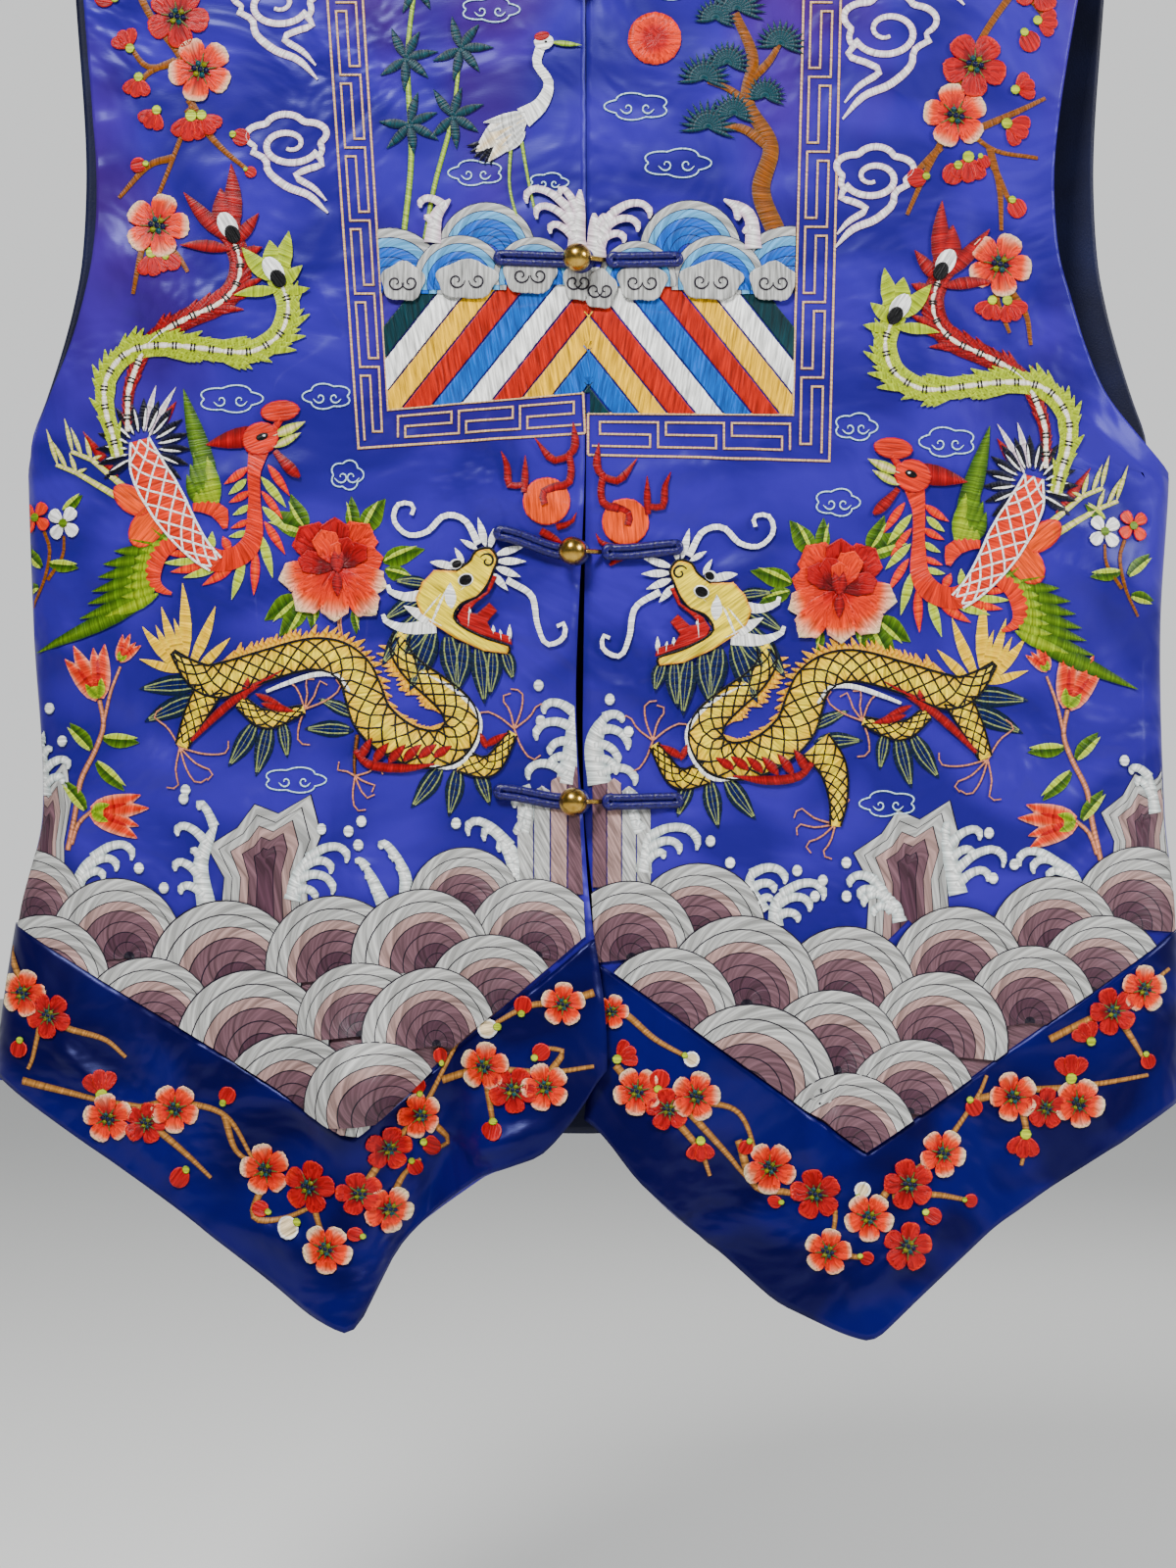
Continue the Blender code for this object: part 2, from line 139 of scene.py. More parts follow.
# %% Tables of folds and creases, in millimetres
FOLD_COLUMNS = "x0 z0 x1 z1 half rise0 rise1"
FOLDS = {
    "left": table(
        FOLD_COLUMNS,
        (-90, -470, -104, -700, 22, 0, 12), (-104, -700, -110, -830, 22, 12, 22),
        (-66, -560, -72, -830, 20, 0, -18), (-160, -560, -190, -800, 30, 0, -8),
        (-40, -640, -34, -760, 16, 0, 6), (-215, -330, -120, -400, 18, 4, 0),
        (-222, -268, -203, -266, 3.5, 1.2, 0), (-222, -288, -203, -284, 3, 1, 0),
        (-118, -312, -127, -340, 3.5, 1.2, 0.6), (-127, -340, -108, -359, 3.5, 0.6, 1.2),
        (-63, -720, -47, -727, 5, 3, 3.2), (-47, -727, -12, -715, 4.8, 3.2, 1),
        (-62, -729, -86, -771, 6, -3, -1.5), (-175, -755, -130, -775, 10, 0, 2.4),
        (-250, -560, -190, -610, 8, 1.4, 0), (-246, -455, -200, -520, 10, -1.6, 0),
        (-30, -520, -12, -600, 10, -1.2, 1.5), (-140, -640, -128, -720, 9, 0, -2),
        (-110, -407, -110, -462, 8, -0.6, -2.2), (-110, -462, -100, -560, 8, -2.2, -1.2),
        (-46, -432, -14, -446, 6, 1.4, 2.2), (-50, -448, -18, -470, 5.5, -1.6, -1),
        (-62, -396, -36, -421, 6, 0.8, 1.6), (-176, -432, -128, -424, 7, 1, 1.8),
        (-196, -556, -150, -572, 7.5, 1.6, 0.6), (-240, -505, -206, -530, 6.5, 1.4, 1),
        (-90, -545, -58, -566, 6.5, 1.4, 0.8), (-30, -475, -10, -498, 5.5, 1.2, 1.6),
        (-165, -762, -135, -766, 5.5, 1.2, 2.6), (-52, -745, -78, -768, 5, 2.4, 1.4),
        (-205, -724, -186, -742, 5, 1.8, 1.2), (-236, -688, -214, -706, 5.5, 1.6, 2),
    ),
    "right": table(
        FOLD_COLUMNS,
        (130, -600, 126, -830, 30, 0, 12), (75, -660, 58, -800, 20, 0, -12),
        (185, -600, 200, -780, 26, 0, -9), (250, -480, 170, -430, 14, 5, 0), (32, -650, 26, -760, 16, 0, 6),
        (218, -468, 258, -503, 4.5, 2.4, 1.8), (212, -460, 252, -497, 6, -1.8, -1),
        (210, -449, 219, -452, 4, 1.2, 0.8), (159, -351, 184, -373, 4.5, 1.4, 0.6),
        (116, -680, 108, -707, 7, -3.4, -2.6), (54, -765, 74, -757, 5, 2.6, 2),
        (74, -757, 94, -756, 5, 2, 0.5), (32, -576, 48, -589, 5, 1.4, 1),
        (2, -524, 24, -524, 4.5, 1.2, 0.2), (196, -700, 190, -760, 10, 1.4, 2.6),
        (240, -300, 190, -340, 10, 1.2, 0), (70, -418, 88, -433, 4.5, 1.4, 0.6),
        (18, -430, 50, -424, 6, 1.2, 1.8), (16, -446, 46, -452, 5.5, -1.2, -1.4),
        (60, -472, 88, -462, 6.5, 1.4, 0.8), (128, -482, 156, -474, 6.5, 1.2, 1.6),
        (200, -452, 218, -450, 3.5, 1.4, 1), (226, -404, 256, -428, 5, 2.2, 1),
        (222, -418, 250, -446, 5, -1.8, -0.6), (110, -546, 84, -560, 7, 1.2, 1.6),
        (196, -560, 168, -580, 7, 1.4, 1), (232, -590, 208, -612, 6, 1.4, 1),
        (30, -548, 52, -560, 6, 1.4, 0.8), (102, -700, 98, -728, 5, 1.8, 2.6),
        (150, -764, 120, -788, 5, 1.2, 2), (70, -735, 90, -752, 4.5, 1.6, 1),
        (222, -706, 236, -722, 4.5, 1.6, 1.2),
    ),
    "back": table(
        FOLD_COLUMNS,
        (-150, -300, -175, -740, 40, 2, 10), (-60, -200, -50, -740, 36, 1, -7),
        (60, -260, 75, -740, 40, 2, 9), (160, -320, 185, -740, 36, 0, -6),
        (-215, -395, -150, -450, 10, 2, 0), (222, -400, 160, -470, 11, 2.2, 0),
        (-20, -170, 10, -420, 12, 0, 1.6), (-110, -520, -98, -700, 10, 0, 2),
        (116, -560, 124, -710, 10, 0, -1.8),
    ),
}
print("folds and creases", {name: len(rows["half"]) for name, rows in FOLDS.items()})

# %% Functions of the form


def smooth_step(share):
    """0 below zero, 1 above one, and a smooth climb between."""
    share = np.clip(share, 0.0, 1.0)
    return share * share * (3 - 2 * share)


def read(rows, column, at, key="z"):
    """A column's value at each height, on a smooth curve through the rows."""
    order = np.argsort(rows[key])
    keys, values = rows[key][order], rows[column][order]
    slopes = np.gradient(values) / np.gradient(keys)
    at = np.clip(at, keys[0], keys[-1])
    low = np.clip(np.searchsorted(keys, at) - 1, 0, len(keys) - 2)
    span = keys[low + 1] - keys[low]
    t = (at - keys[low]) / span
    return (
        values[low] * (1 + 2 * t) * (1 - t) ** 2
        + values[low + 1] * t * t * (3 - 2 * t)
        + span * (slopes[low] * t * (1 - t) ** 2 - slopes[low + 1] * t * t * (1 - t))
    )


def rounded_line(rows, at, blur=0.004):
    """The height of a line of points, with its corners eased."""
    return sum(np.interp(at + blur * k, rows["x"], rows["z"]) for k in (-1, -0.5, 0, 0.5, 1)) / 5


def shoulder_line(x):
    """Height of the shoulder's slope at x."""
    return NECK_POINT_Z - SHOULDER_SLOPE * (np.abs(x) - NECK_HALF)


def half_width(x, z):
    """Half the body's width at a height."""
    return np.where(x < 0, read(SECTIONS, "left", z), read(SECTIONS, "right", z))


def fold_rise(folds, x, z):
    """How far the folds push the cloth outwards."""
    rise = np.zeros_like(x)
    for x0, z0, x1, z1, half, rise0, rise1 in zip(*(folds[c] for c in FOLD_COLUMNS.split())):
        along_x, along_z = x1 - x0, z1 - z0
        on = np.clip(((x - x0) * along_x + (z - z0) * along_z) / (along_x**2 + along_z**2), 0, 1)
        off = np.hypot(x - x0 - on * along_x, z - z0 - on * along_z)
        rise += (rise0 + (rise1 - rise0) * smooth_step(on)) * np.exp(-((off / half) ** 2))
    return rise


def depth(panel, x, z):
    """How far a panel's outer face stands off the middle plane."""
    face = "back" if panel == "back" else "front"
    share = np.minimum(np.abs(x) / half_width(x, z), 1.0)
    bow = (1 - share**SECTION_POWER) ** (1 / SECTION_POWER)
    below = np.clip((shoulder_line(x) - z) / SHOULDER_ROLL, 0, 1)
    roll = np.sqrt(1 - (1 - below) ** 2)
    freedom = smooth_step(bow / 0.6) * smooth_step((shoulder_line(x) - z) / 0.10)
    off = read(SECTIONS, face, z) * bow * roll + fold_rise(FOLDS[panel], x, z) * freedom
    if panel == "left":
        off += read(OPENING, "lap", z) * (1 - smooth_step(np.abs(x) / 0.07))
    return off


def on_cloth(panel, x, z, lift=0.0):
    """Points over a front at places of its view from the front, lifted along its normal."""
    step = 0.0004
    off = depth(panel, x, z)
    slope_x = (depth(panel, x + step, z) - depth(panel, x - step, z)) / (2 * step)
    slope_z = (depth(panel, x, z + step) - depth(panel, x, z - step)) / (2 * step)
    long = np.sqrt(1 + slope_x**2 + slope_z**2)
    return np.stack(
        (x - slope_x / long * lift, -SEAM_GAP / 2 - off - lift / long, z - slope_z / long * lift), axis=-1
    )


print("front stands off at the chest", depth("right", np.array([0.1]), np.array([-0.4])))

# %% [markdown]
# ## From a grid to a panel
# Each panel is a grid whose columns run from the opening to the side seam and whose rows run from
# the hem to the shoulder. The columns bunch up towards the side seam, where the cloth turns, and
# the last rows close up where it rolls over the shoulder. Solidify then gives the sheet its thickness.

# %% Place a panel's grid


def column_x(side, edge_column, s, z):
    """Where a column lies at a height. s runs from the middle to the side seam."""
    half = read(SECTIONS, side, z)
    edge = np.minimum(read(ARMHOLES, edge_column, z), half)
    reach = np.where(z > UNDERARM_Z, np.arcsin(edge / half) / (np.pi / 2), 1.0)
    return (-1 if side == "left" else 1) * half * np.sin(s * reach * np.pi / 2)


def top_line(side, edge_column, drop, s):
    """The panel's top edge, and how far each column rolls over the shoulder."""
    at = np.full_like(s, NECK_POINT_Z)
    half, edge = read(SECTIONS, side, at), read(ARMHOLES, edge_column, at)
    neck_s = np.arcsin(NECK_HALF / half) / np.arcsin(edge / half)
    z = at
    for _ in range(12):
        z = np.minimum(shoulder_line(column_x(side, edge_column, s, z)), NECK_POINT_Z)
    in_neck = NECK_POINT_Z - drop * np.cos(np.minimum(s / neck_s, 1) * np.pi / 2)
    rolled = np.where(s < neck_s, smooth_step(4 * s / neck_s - 3), 1.0)
    return np.where(s < neck_s, in_neck, z), rolled


def row_z(low, band_top, top, t, rolled):
    """The height of a row. t runs from the hem to the top."""
    in_band = low + (band_top - low) * t / BAND_SHARE
    in_body = band_top + (top - SHOULDER_ROLL - band_top) * (t - BAND_SHARE) / (BODY_SHARE - BAND_SHARE)
    left = np.clip((1 - t) / (1 - BODY_SHARE), 0, 1)
    in_roll = top - SHOULDER_ROLL * (left + (1 - np.cos(left * np.pi / 2) - left) * rolled)
    return np.where(t <= BAND_SHARE, in_band, np.where(t <= BODY_SHARE, in_body, in_roll))


def panel_points(panel, s, t):
    """Points of a panel's outer face. On the back s runs from -1 to 1."""
    if panel == "back":
        x = np.empty_like(s)
        z = np.empty_like(s)
        for side, at in (("left", s < 0), ("right", s >= 0)):
            u, v = np.abs(s[at]), t[at]
            low = rounded_line(HEMS["back"], np.abs(column_x(side, "back", u, np.full_like(u, -0.72))))
            top, rolled = top_line(side, "back", BACK_NECK_DROP, u)
            z[at] = row_z(low, low + BACK_BAND_HEIGHT, top, v, rolled)
            x[at] = column_x(side, "back", u, z[at])
        return np.stack((x, SEAM_GAP / 2 + depth("back", x, z), z), axis=-1)
    sign = -1 if panel == "left" else 1

    def across(z):
        return read(OPENING, panel, z) * np.maximum(1 - s / 0.22, 0) ** 2 + column_x(panel, panel, s, z)

    low = band_top = np.full_like(s, -0.70)
    for _ in range(3):
        low = rounded_line(HEMS[panel], sign * across(low))
        band_top = rounded_line(BAND_TOPS[panel], sign * across(band_top), 0.002)
    top, rolled = top_line(panel, panel, FRONT_NECK_DROP, s)
    z = row_z(low, band_top, top, t, rolled)
    x = across(z)
    return np.stack((x, -SEAM_GAP / 2 - depth(panel, x, z), z), axis=-1)


def new_object(name, bm, *materials):
    """Turn a bmesh into a smooth object in the scene."""
    mesh = bpy.data.meshes.new(name)
    bm.to_mesh(mesh)
    bm.free()
    made = bpy.data.objects.new(name, mesh)
    bpy.context.scene.collection.objects.link(made)
    for finish in materials:
        mesh.materials.append(finish)
    mesh.shade_smooth()
    return made


def cloth_piece(name, panel, columns, rows, t_range, offset, thick, outside, inside):
    """A sheet on a panel's form. Its UV map is the flat cloth in metres, for the weave."""
    bm = bmesh.new()
    uv = bm.loops.layers.uv.new("cloth")
    bmesh.ops.create_grid(bm, x_segments=columns, y_segments=rows, size=1.0)
    bm.verts.index_update()
    flat = np.array([v.co[:2] for v in bm.verts])
    s = flat[:, 0] if panel == "back" else (flat[:, 0] + 1) / 2
    t = t_range[0] + (t_range[1] - t_range[0]) * (flat[:, 1] + 1) / 2
    points = panel_points(panel, s, t)
    step = 1e-3
    s_low, s_high = np.maximum(s - step, -1.0 if panel == "back" else 0.0), np.minimum(s + step, 1.0)
    t_low, t_high = np.maximum(t - step, 0.0), np.minimum(t + step, 1.0)
    across = panel_points(panel, s_high, t) - panel_points(panel, s_low, t)
    up = panel_points(panel, s, t_high) - panel_points(panel, s, t_low)
    normals = np.cross(across, up)
    normals /= np.linalg.norm(normals, axis=1, keepdims=True)
    normals *= 1 if panel == "right" else -1
    points = points + normals * offset
    for vert, point in zip(bm.verts, points):
        vert.co = point
    for face in bm.faces:
        for loop in face.loops:
            place = points[loop.vert.index]
            loop[uv].uv = (place[0], place[2])
    if panel != "right":
        bmesh.ops.reverse_faces(bm, faces=bm.faces[:])
    piece = new_object(name, bm, outside, inside)
    wall = piece.modifiers.new("thickness", "SOLIDIFY")
    wall.thickness = thick
    wall.offset = -1.0
    wall.material_offset = 1
    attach(piece, "root")
    grid = points.reshape(rows + 1, columns + 1, 3)
    width = np.linalg.norm(np.diff(grid, axis=1)[:, :, :2], axis=2).sum(axis=1).max()
    length = np.linalg.norm(np.diff(grid, axis=0)[:, :, 1:], axis=2).sum(axis=0).max()
    area = sum(face.area for face in piece.data.polygons)
    print(name, "cut", round(width, 3), "x", round(length, 3), "m, area", round(area, 4))
    return piece, (round(float(width), 3), round(float(length), 3)), round(float(area), 4)


# %% [markdown]
# ## Satin, lining and thread
# Satin shows long floats of silk, so it has a soft bright highlight that follows the folds. The
# shader here is a plain Principled one with a low sheen and a fine ribbed bump. Its colour has slow
# darker patches, partly uneven tone and partly painted shade that stands for the fold valleys. The
# satin is shot with violet, and that violet is painted in high on the chest as a painted reflection,
# where the cloth tilts back. Embroidery thread gets its colour from an attribute and its direction
# from a UV map called stitch, so that each patch catches the light in its own way.

# %% Material helpers


def srgb(red, green, blue):
    """A colour from 0-255 values, as the shader wants it."""
    values = np.array((red, green, blue)) / 255
    return tuple(np.where(values <= 0.04045, values / 12.92, ((values + 0.055) / 1.055) ** 2.4))


def start_material(name, colour, roughness, metallic=0.0, **sockets):
    """A Principled material. A socket's name is given with _ for its spaces."""
    made = bpy.data.materials.new(name)
    made.use_nodes = True
    shader = made.node_tree.nodes["Principled BSDF"]
    shader.inputs["Base Color"].default_value = (*colour, 1.0)
    shader.inputs["Roughness"].default_value = roughness
    shader.inputs["Metallic"].default_value = metallic
    for socket, value in sockets.items():
        shader.inputs[socket.replace("_", " ")].default_value = value
    return made, made.node_tree, shader


def node(tree, kind, inputs=(), **settings):
    """Add a shader node. inputs holds sockets to link and values to set."""
    made = tree.nodes.new(kind)
    for key, value in settings.items():
        setattr(made, key, value)
    for key, value in dict(inputs).items():
        if isinstance(value, bpy.types.NodeSocket):
            tree.links.new(value, made.inputs[key])
        else:
            made.inputs[key].default_value = value
    return made


def object_place(tree):
    """The place on the object, in metres."""
    return node(tree, "ShaderNodeTexCoord").outputs["Object"]


def noise(tree, vector, scale, detail=2.0, stretch=(1, 1, 1), output="Fac"):
    """Noise over a vector, which may be stretched first."""
    placed = node(tree, "ShaderNodeMapping", {"Vector": vector, "Scale": stretch}).outputs[0]
    return node(tree, "ShaderNodeTexNoise",
                {"Vector": placed, "Scale": scale, "Detail": detail}).outputs[output]


def maths(tree, operation, *values):
    """One sum on values or sockets."""
    return node(tree, "ShaderNodeMath", dict(enumerate(values)), operation=operation).outputs[0]


def spread(tree, value, low, high, bottom=0.0, top=1.0):
    """Stretch a value that runs from low to high, so that it runs from bottom to top."""
    limits = {"From Min": low, "From Max": high, "To Min": bottom, "To Max": top}
    return node(tree, "ShaderNodeMapRange", {"Value": value, **limits}).outputs[0]


def warped(tree, place, scale, detail, reach):
    """Places pushed about by noise, so that a pattern on them shows no rows."""
    push = {0: noise(tree, place, scale, detail, output="Color"), 1: (reach, reach, reach)}
    pushed = node(tree, "ShaderNodeVectorMath", push, operation="MULTIPLY").outputs[0]
    return node(tree, "ShaderNodeVectorMath", {0: place, 1: pushed}, operation="ADD").outputs[0]


def blend_colours(tree, share, first, second):
    """A ramp from the first colour to the second."""
    ramp = node(tree, "ShaderNodeValToRGB", {"Fac": share})
    for stop, colour, position in zip(ramp.color_ramp.elements, (first, second), (0.32, 0.70)):
        stop.color = (*colour, 1)
        stop.position = position
    return ramp.outputs["Color"]


def paint(tree, shader, colour):
    """Give the shader its colour."""
    tree.links.new(colour, shader.inputs["Base Color"])


def bump(tree, shader, height, strength, distance):
    """Let a height tilt the shader's normals."""
    bumped = node(tree, "ShaderNodeBump", {"Height": height, "Strength": strength, "Distance": distance})
    tree.links.new(bumped.outputs["Normal"], shader.inputs["Normal"])


# %% Satin, lining and floss
# Heights between which the shot violet is painted in, fading out below: a painted reflection high on the
# chest.
PAINTED_REFLECTION_TOP, PAINTED_REFLECTION_FOOT = -0.16, -0.42


def satin_material(name, colour, deep, shot_reflection, roughness):
    """Silk satin: slow darker patches of uneven tone and painted fold shade, puckers and fine ribs, and the
    shot violet painted high on the chest as a painted reflection.
    """
    made, tree, shader = start_material(
        name, colour, roughness, Anisotropic=0.5, Specular_IOR_Level=0.3,
        Specular_Tint=(0.36, 0.41, 1.0, 1.0)
    )
    place = object_place(tree)
    # Painted shade: slow darker patches stand for the shade of the fold valleys, mixed with the silk's
    # uneven tone.
    tone_and_painted_shade = noise(tree, warped(tree, place, 5.0, 2.0, 0.16), 20.0, 1.0, (0.8, 1, 1.4))
    base = blend_colours(tree, spread(tree, tone_and_painted_shade, 0.22, 0.78), deep, colour)
    # Painted reflection: the shot violet is mixed in high on the chest, in noisy patches, where the cloth
    # tilts back.
    height = node(tree, "ShaderNodeSeparateXYZ", {0: place}).outputs["Z"]
    high = spread(tree, height, PAINTED_REFLECTION_FOOT, PAINTED_REFLECTION_TOP)
    patches = spread(tree, noise(tree, place, 6.5, 3.0, (1.3, 1, 0.6)), 0.48, 0.66, top=0.6)
    painted_reflection = maths(tree, "MULTIPLY", high, patches)
    mixed = node(tree, "ShaderNodeMix", {0: painted_reflection, 6: base, 7: (*shot_reflection, 1)}, data_type="RGBA")
    paint(tree, shader, mixed.outputs[2])
    swayed = warped(tree, place, 9.0, 1.0, 0.11)
    creases = noise(tree, swayed, 34.0, 2.0, (1.0, 1, 1.1))
    puckers = noise(tree, swayed, 100.0, 1.0, (0.7, 1, 1.3))
    ribs = noise(tree, place, 1400.0, 1.0, (0.3, 1, 1.6))
    where = spread(tree, noise(tree, place, 14.0, 1.0), 0.42, 0.64, top=0.14)
    fine = maths(tree, "MULTIPLY_ADD", puckers, where, creases)
    bump(tree, shader, maths(tree, "MULTIPLY_ADD", ribs, 0.005, fine), 0.58, 0.007)
    return made


def lining_material():
    """Plain dark blue silk."""
    made, tree, shader = start_material("lining", srgb(8, 12, 40), 0.5, Specular_IOR_Level=0.2)
    place = object_place(tree)
    paint(tree, shader, blend_colours(tree, noise(tree, place, 30.0), srgb(5, 8, 32), srgb(12, 18, 52)))
    bump(tree, shader, noise(tree, place, 1200.0, 1.0), 0.3, 0.0003)
    return made


def thread_material():
    """Silk floss. Fine ridges run along each stitch, and the colour is painted darker in the gaps between
    strands and brighter on their ridges, as painted shade and painted highlight.
    """
    made, tree, shader = start_material(
        "floss", (0.8, 0.8, 0.8), 0.42, Anisotropic=0.5, Specular_IOR_Level=0.22
    )
    colour = node(tree, "ShaderNodeVertexColor", layer_name="thread").outputs["Color"]
    stitch = node(tree, "ShaderNodeUVMap", uv_map="stitch").outputs["UV"]
    strand_ridges_and_painted_shade = noise(tree, stitch, 1.0, 3.0, (0.95, 0.07, 1))
    # Painted shade and highlight: the ridge noise darkens the gaps between strands and brightens their
    # tops.
    value = spread(tree, strand_ridges_and_painted_shade, 0.25, 0.75, 0.42, 1.25)
    shade = node(tree, "ShaderNodeHueSaturation", {"Color": colour, "Saturation": 1.22, "Value": value})
    deep = node(tree, "ShaderNodeGamma", {"Color": shade.outputs["Color"], "Gamma": 1.5})
    paint(tree, shader, deep.outputs["Color"])
    bump(tree, shader, strand_ridges_and_painted_shade, 0.75, 0.0006)
    return made


# Each satin takes its colour, a darker one for painted fold shade and uneven tone, and its shot violet for
# the painted reflection.
satin = satin_material("satin", srgb(47, 29, 140), srgb(31, 17, 106), srgb(88, 26, 54), 0.36)
band_satin = satin_material("band_satin", srgb(12, 2, 80), srgb(6, 0, 50), srgb(16, 2, 60), 0.33)
lining = lining_material()
floss = thread_material()
print("materials", [m.name for m in (satin, band_satin, lining, floss)])

# %% [markdown]
# ## The cloth
# Two fronts, a back, its lining, and a band along each hem. Each takes the place of its plain solid.

# %% Make the cloth
FINE = ((104, 236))
cloth = {}
for side in ("left", "right"):
    cloth[f"front_{side}"] = cloth_piece(
        f"satin_front_{side}", side, *FINE, (0, 1), 0.0, PANEL_THICK, satin, lining
    )
    cloth[f"band_{side}"] = cloth_piece(
        f"satin_band_{side}", side, FINE[0], 28, (0, BAND_SHARE), SEAM_GAP + BAND_THICK, BAND_THICK,
        band_satin, band_satin,
    )
cloth["back"] = cloth_piece("satin_back", "back", 110, 130, (0, 1), 0.0, PANEL_THICK, satin, lining)
cloth["band_back"] = cloth_piece(
    "satin_band_back", "back", 110, 18, (0, BAND_SHARE), SEAM_GAP + BAND_THICK, BAND_THICK, band_satin,
    band_satin
)
cloth["lining_back"] = cloth_piece(
    "silk_lining_back", "back", 110, 130, (0, 1), -PANEL_THICK - SEAM_GAP, LINING_THICK, lining, lining
)
for node_name, (piece, _, _) in cloth.items():
    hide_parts(node_name)

# %% [markdown]
# ## The embroiderer's sheet
# The pattern is drawn on a flat sheet, as an embroiderer's cartoon is, 0.44 mm to a unit, with y
# running down. A hoop collects the patches of one motif. When it is sewn, each patch becomes a flat
# face, insets give it rings of colour and a raised edge, and every point is moved onto the cloth.
# Painting the motifs with a shader would be lighter, but real stitches stand up from the satin, and
# only geometry shows that from the side.

# %% Thread colours and the sheet
UNIT = 0.00044
SHEET_MIDDLE, SHEET_TOP = 602.0, -270.0
THREADS = {
    name: srgb(*values)
    for name, values in {
        "white": (248, 248, 246), "cream": (236, 222, 196), "pink_white": (222, 204, 214),
        "pale_pink": (242, 190, 172), "pink": (226, 104, 110), "salmon": (242, 140, 96),
        "coral": (236, 104, 60), "orange_red": (226, 82, 30), "brick": (194, 30, 46),
        "dark_red": (138, 14, 40), "yellow": (250, 222, 78), "gold": (244, 210, 96),
        "ochre": (168, 116, 50), "tan": (146, 116, 80), "sand": (212, 174, 130), "black": (10, 9, 20),
        "navy": (26, 28, 96), "blue": (54, 84, 190), "sky": (98, 148, 214), "pale_blue": (150, 196, 226),
        "teal": (30, 104, 112), "dark_teal": (8, 58, 78), "green": (76, 106, 40), "leaf": (132, 158, 54),
        "lime": (202, 212, 104), "pale_green": (206, 220, 146), "olive": (150, 150, 60),
        "yellow_green": (182, 196, 78), "straw": (248, 232, 124), "amber": (236, 176, 60),
        "wave_white": (200, 200, 198), "wave_pink": (190, 170, 166), "wave_mauve": (142, 120, 126),
        "wave_deep": (114, 92, 102), "wave_line": (54, 44, 64), "slate": (40, 58, 116),
        "sage": (168, 176, 132), "foam": (196, 204, 204), "azure": (30, 128, 204),
        "green_blue": (14, 84, 92), "deep_yellow": (246, 208, 66), "rust": (202, 66, 20),
    }.items()
}
WHITE, BLACK, RED, GILT = ("white",), ("black",), ("dark_red", "brick"), ("gold", "straw")
BARK, ROSY_BARK, CORAL = ("tan", "ochre"), ("tan", "pale_pink"), ("orange_red", "coral")
PALE_LEAF, TEAL, LIME = ("leaf", "pale_green"), ("dark_teal", "teal"), ("lime", "cream")


def sheet_to_cloth(points):
    """From units of the drawing sheet to metres across and up the front."""
    points = np.asarray(points, float)
    return np.stack(
        ((points[:, 0] - SHEET_MIDDLE) * UNIT, NECK_POINT_Z - (points[:, 1] - SHEET_TOP) * UNIT), axis=1
    )


def spline(points, count):
    """A smooth line through a few points, with evenly spaced stations."""
    points = np.asarray(points, float)
    if len(points) == 2:
        return points[0] + (points[1] - points[0]) * np.linspace(0, 1, count)[:, None]
    ends = np.vstack((2 * points[0] - points[1], points, 2 * points[-1] - points[-2]))
    dense = []
    for a, b, c, d in zip(ends, ends[1:], ends[2:], ends[3:]):
        t = np.linspace(0, 1, 12, endpoint=False)[:, None]
        dense.append(
            0.5 * (2 * b + (c - a) * t + (2 * a - 5 * b + 4 * c - d) * t**2
                   + (3 * b - a - 3 * c + d) * t**3)
        )
    dense = np.vstack(dense + [points[-1:]])
    run = np.concatenate(([0], np.cumsum(np.hypot(*np.diff(dense, axis=0).T))))
    at = np.linspace(0, run[-1], count)
    return np.stack((np.interp(at, run, dense[:, 0]), np.interp(at, run, dense[:, 1])), axis=1)


def sideways(line):
    """Unit normals of a line on the sheet."""
    run = np.gradient(line, axis=0)
    run /= np.maximum(np.linalg.norm(run, axis=1, keepdims=True), 1e-9)
    return np.stack((-run[:, 1], run[:, 0]), axis=1)


def turned(points, x, y, angle):
    """Points of a motif drawn along +x, turned by an angle on the sheet and moved to x, y."""
    c, s = math.cos(math.radians(angle)), math.sin(math.radians(angle))
    points = np.asarray(points, float)
    return np.stack((x + points[:, 0] * c - points[:, 1] * s, y + points[:, 0] * s + points[:, 1] * c),
                    axis=1)


# %% The hoop
LAYER, SEWN_LIFT = 0.00013, 0.00035
STITCH_PITCH, RAGGED, RAGGED_SHARE = 0.0014, 0.00034, 0.00012
EDGE_RING, LARGE, CUT_X, CUT_Z = 0.22, 0.007, 0.0040, 0.0080
CORNER_PITCH, ROUND_PITCH = 9, 6
SIDE_LIMIT = 0.992


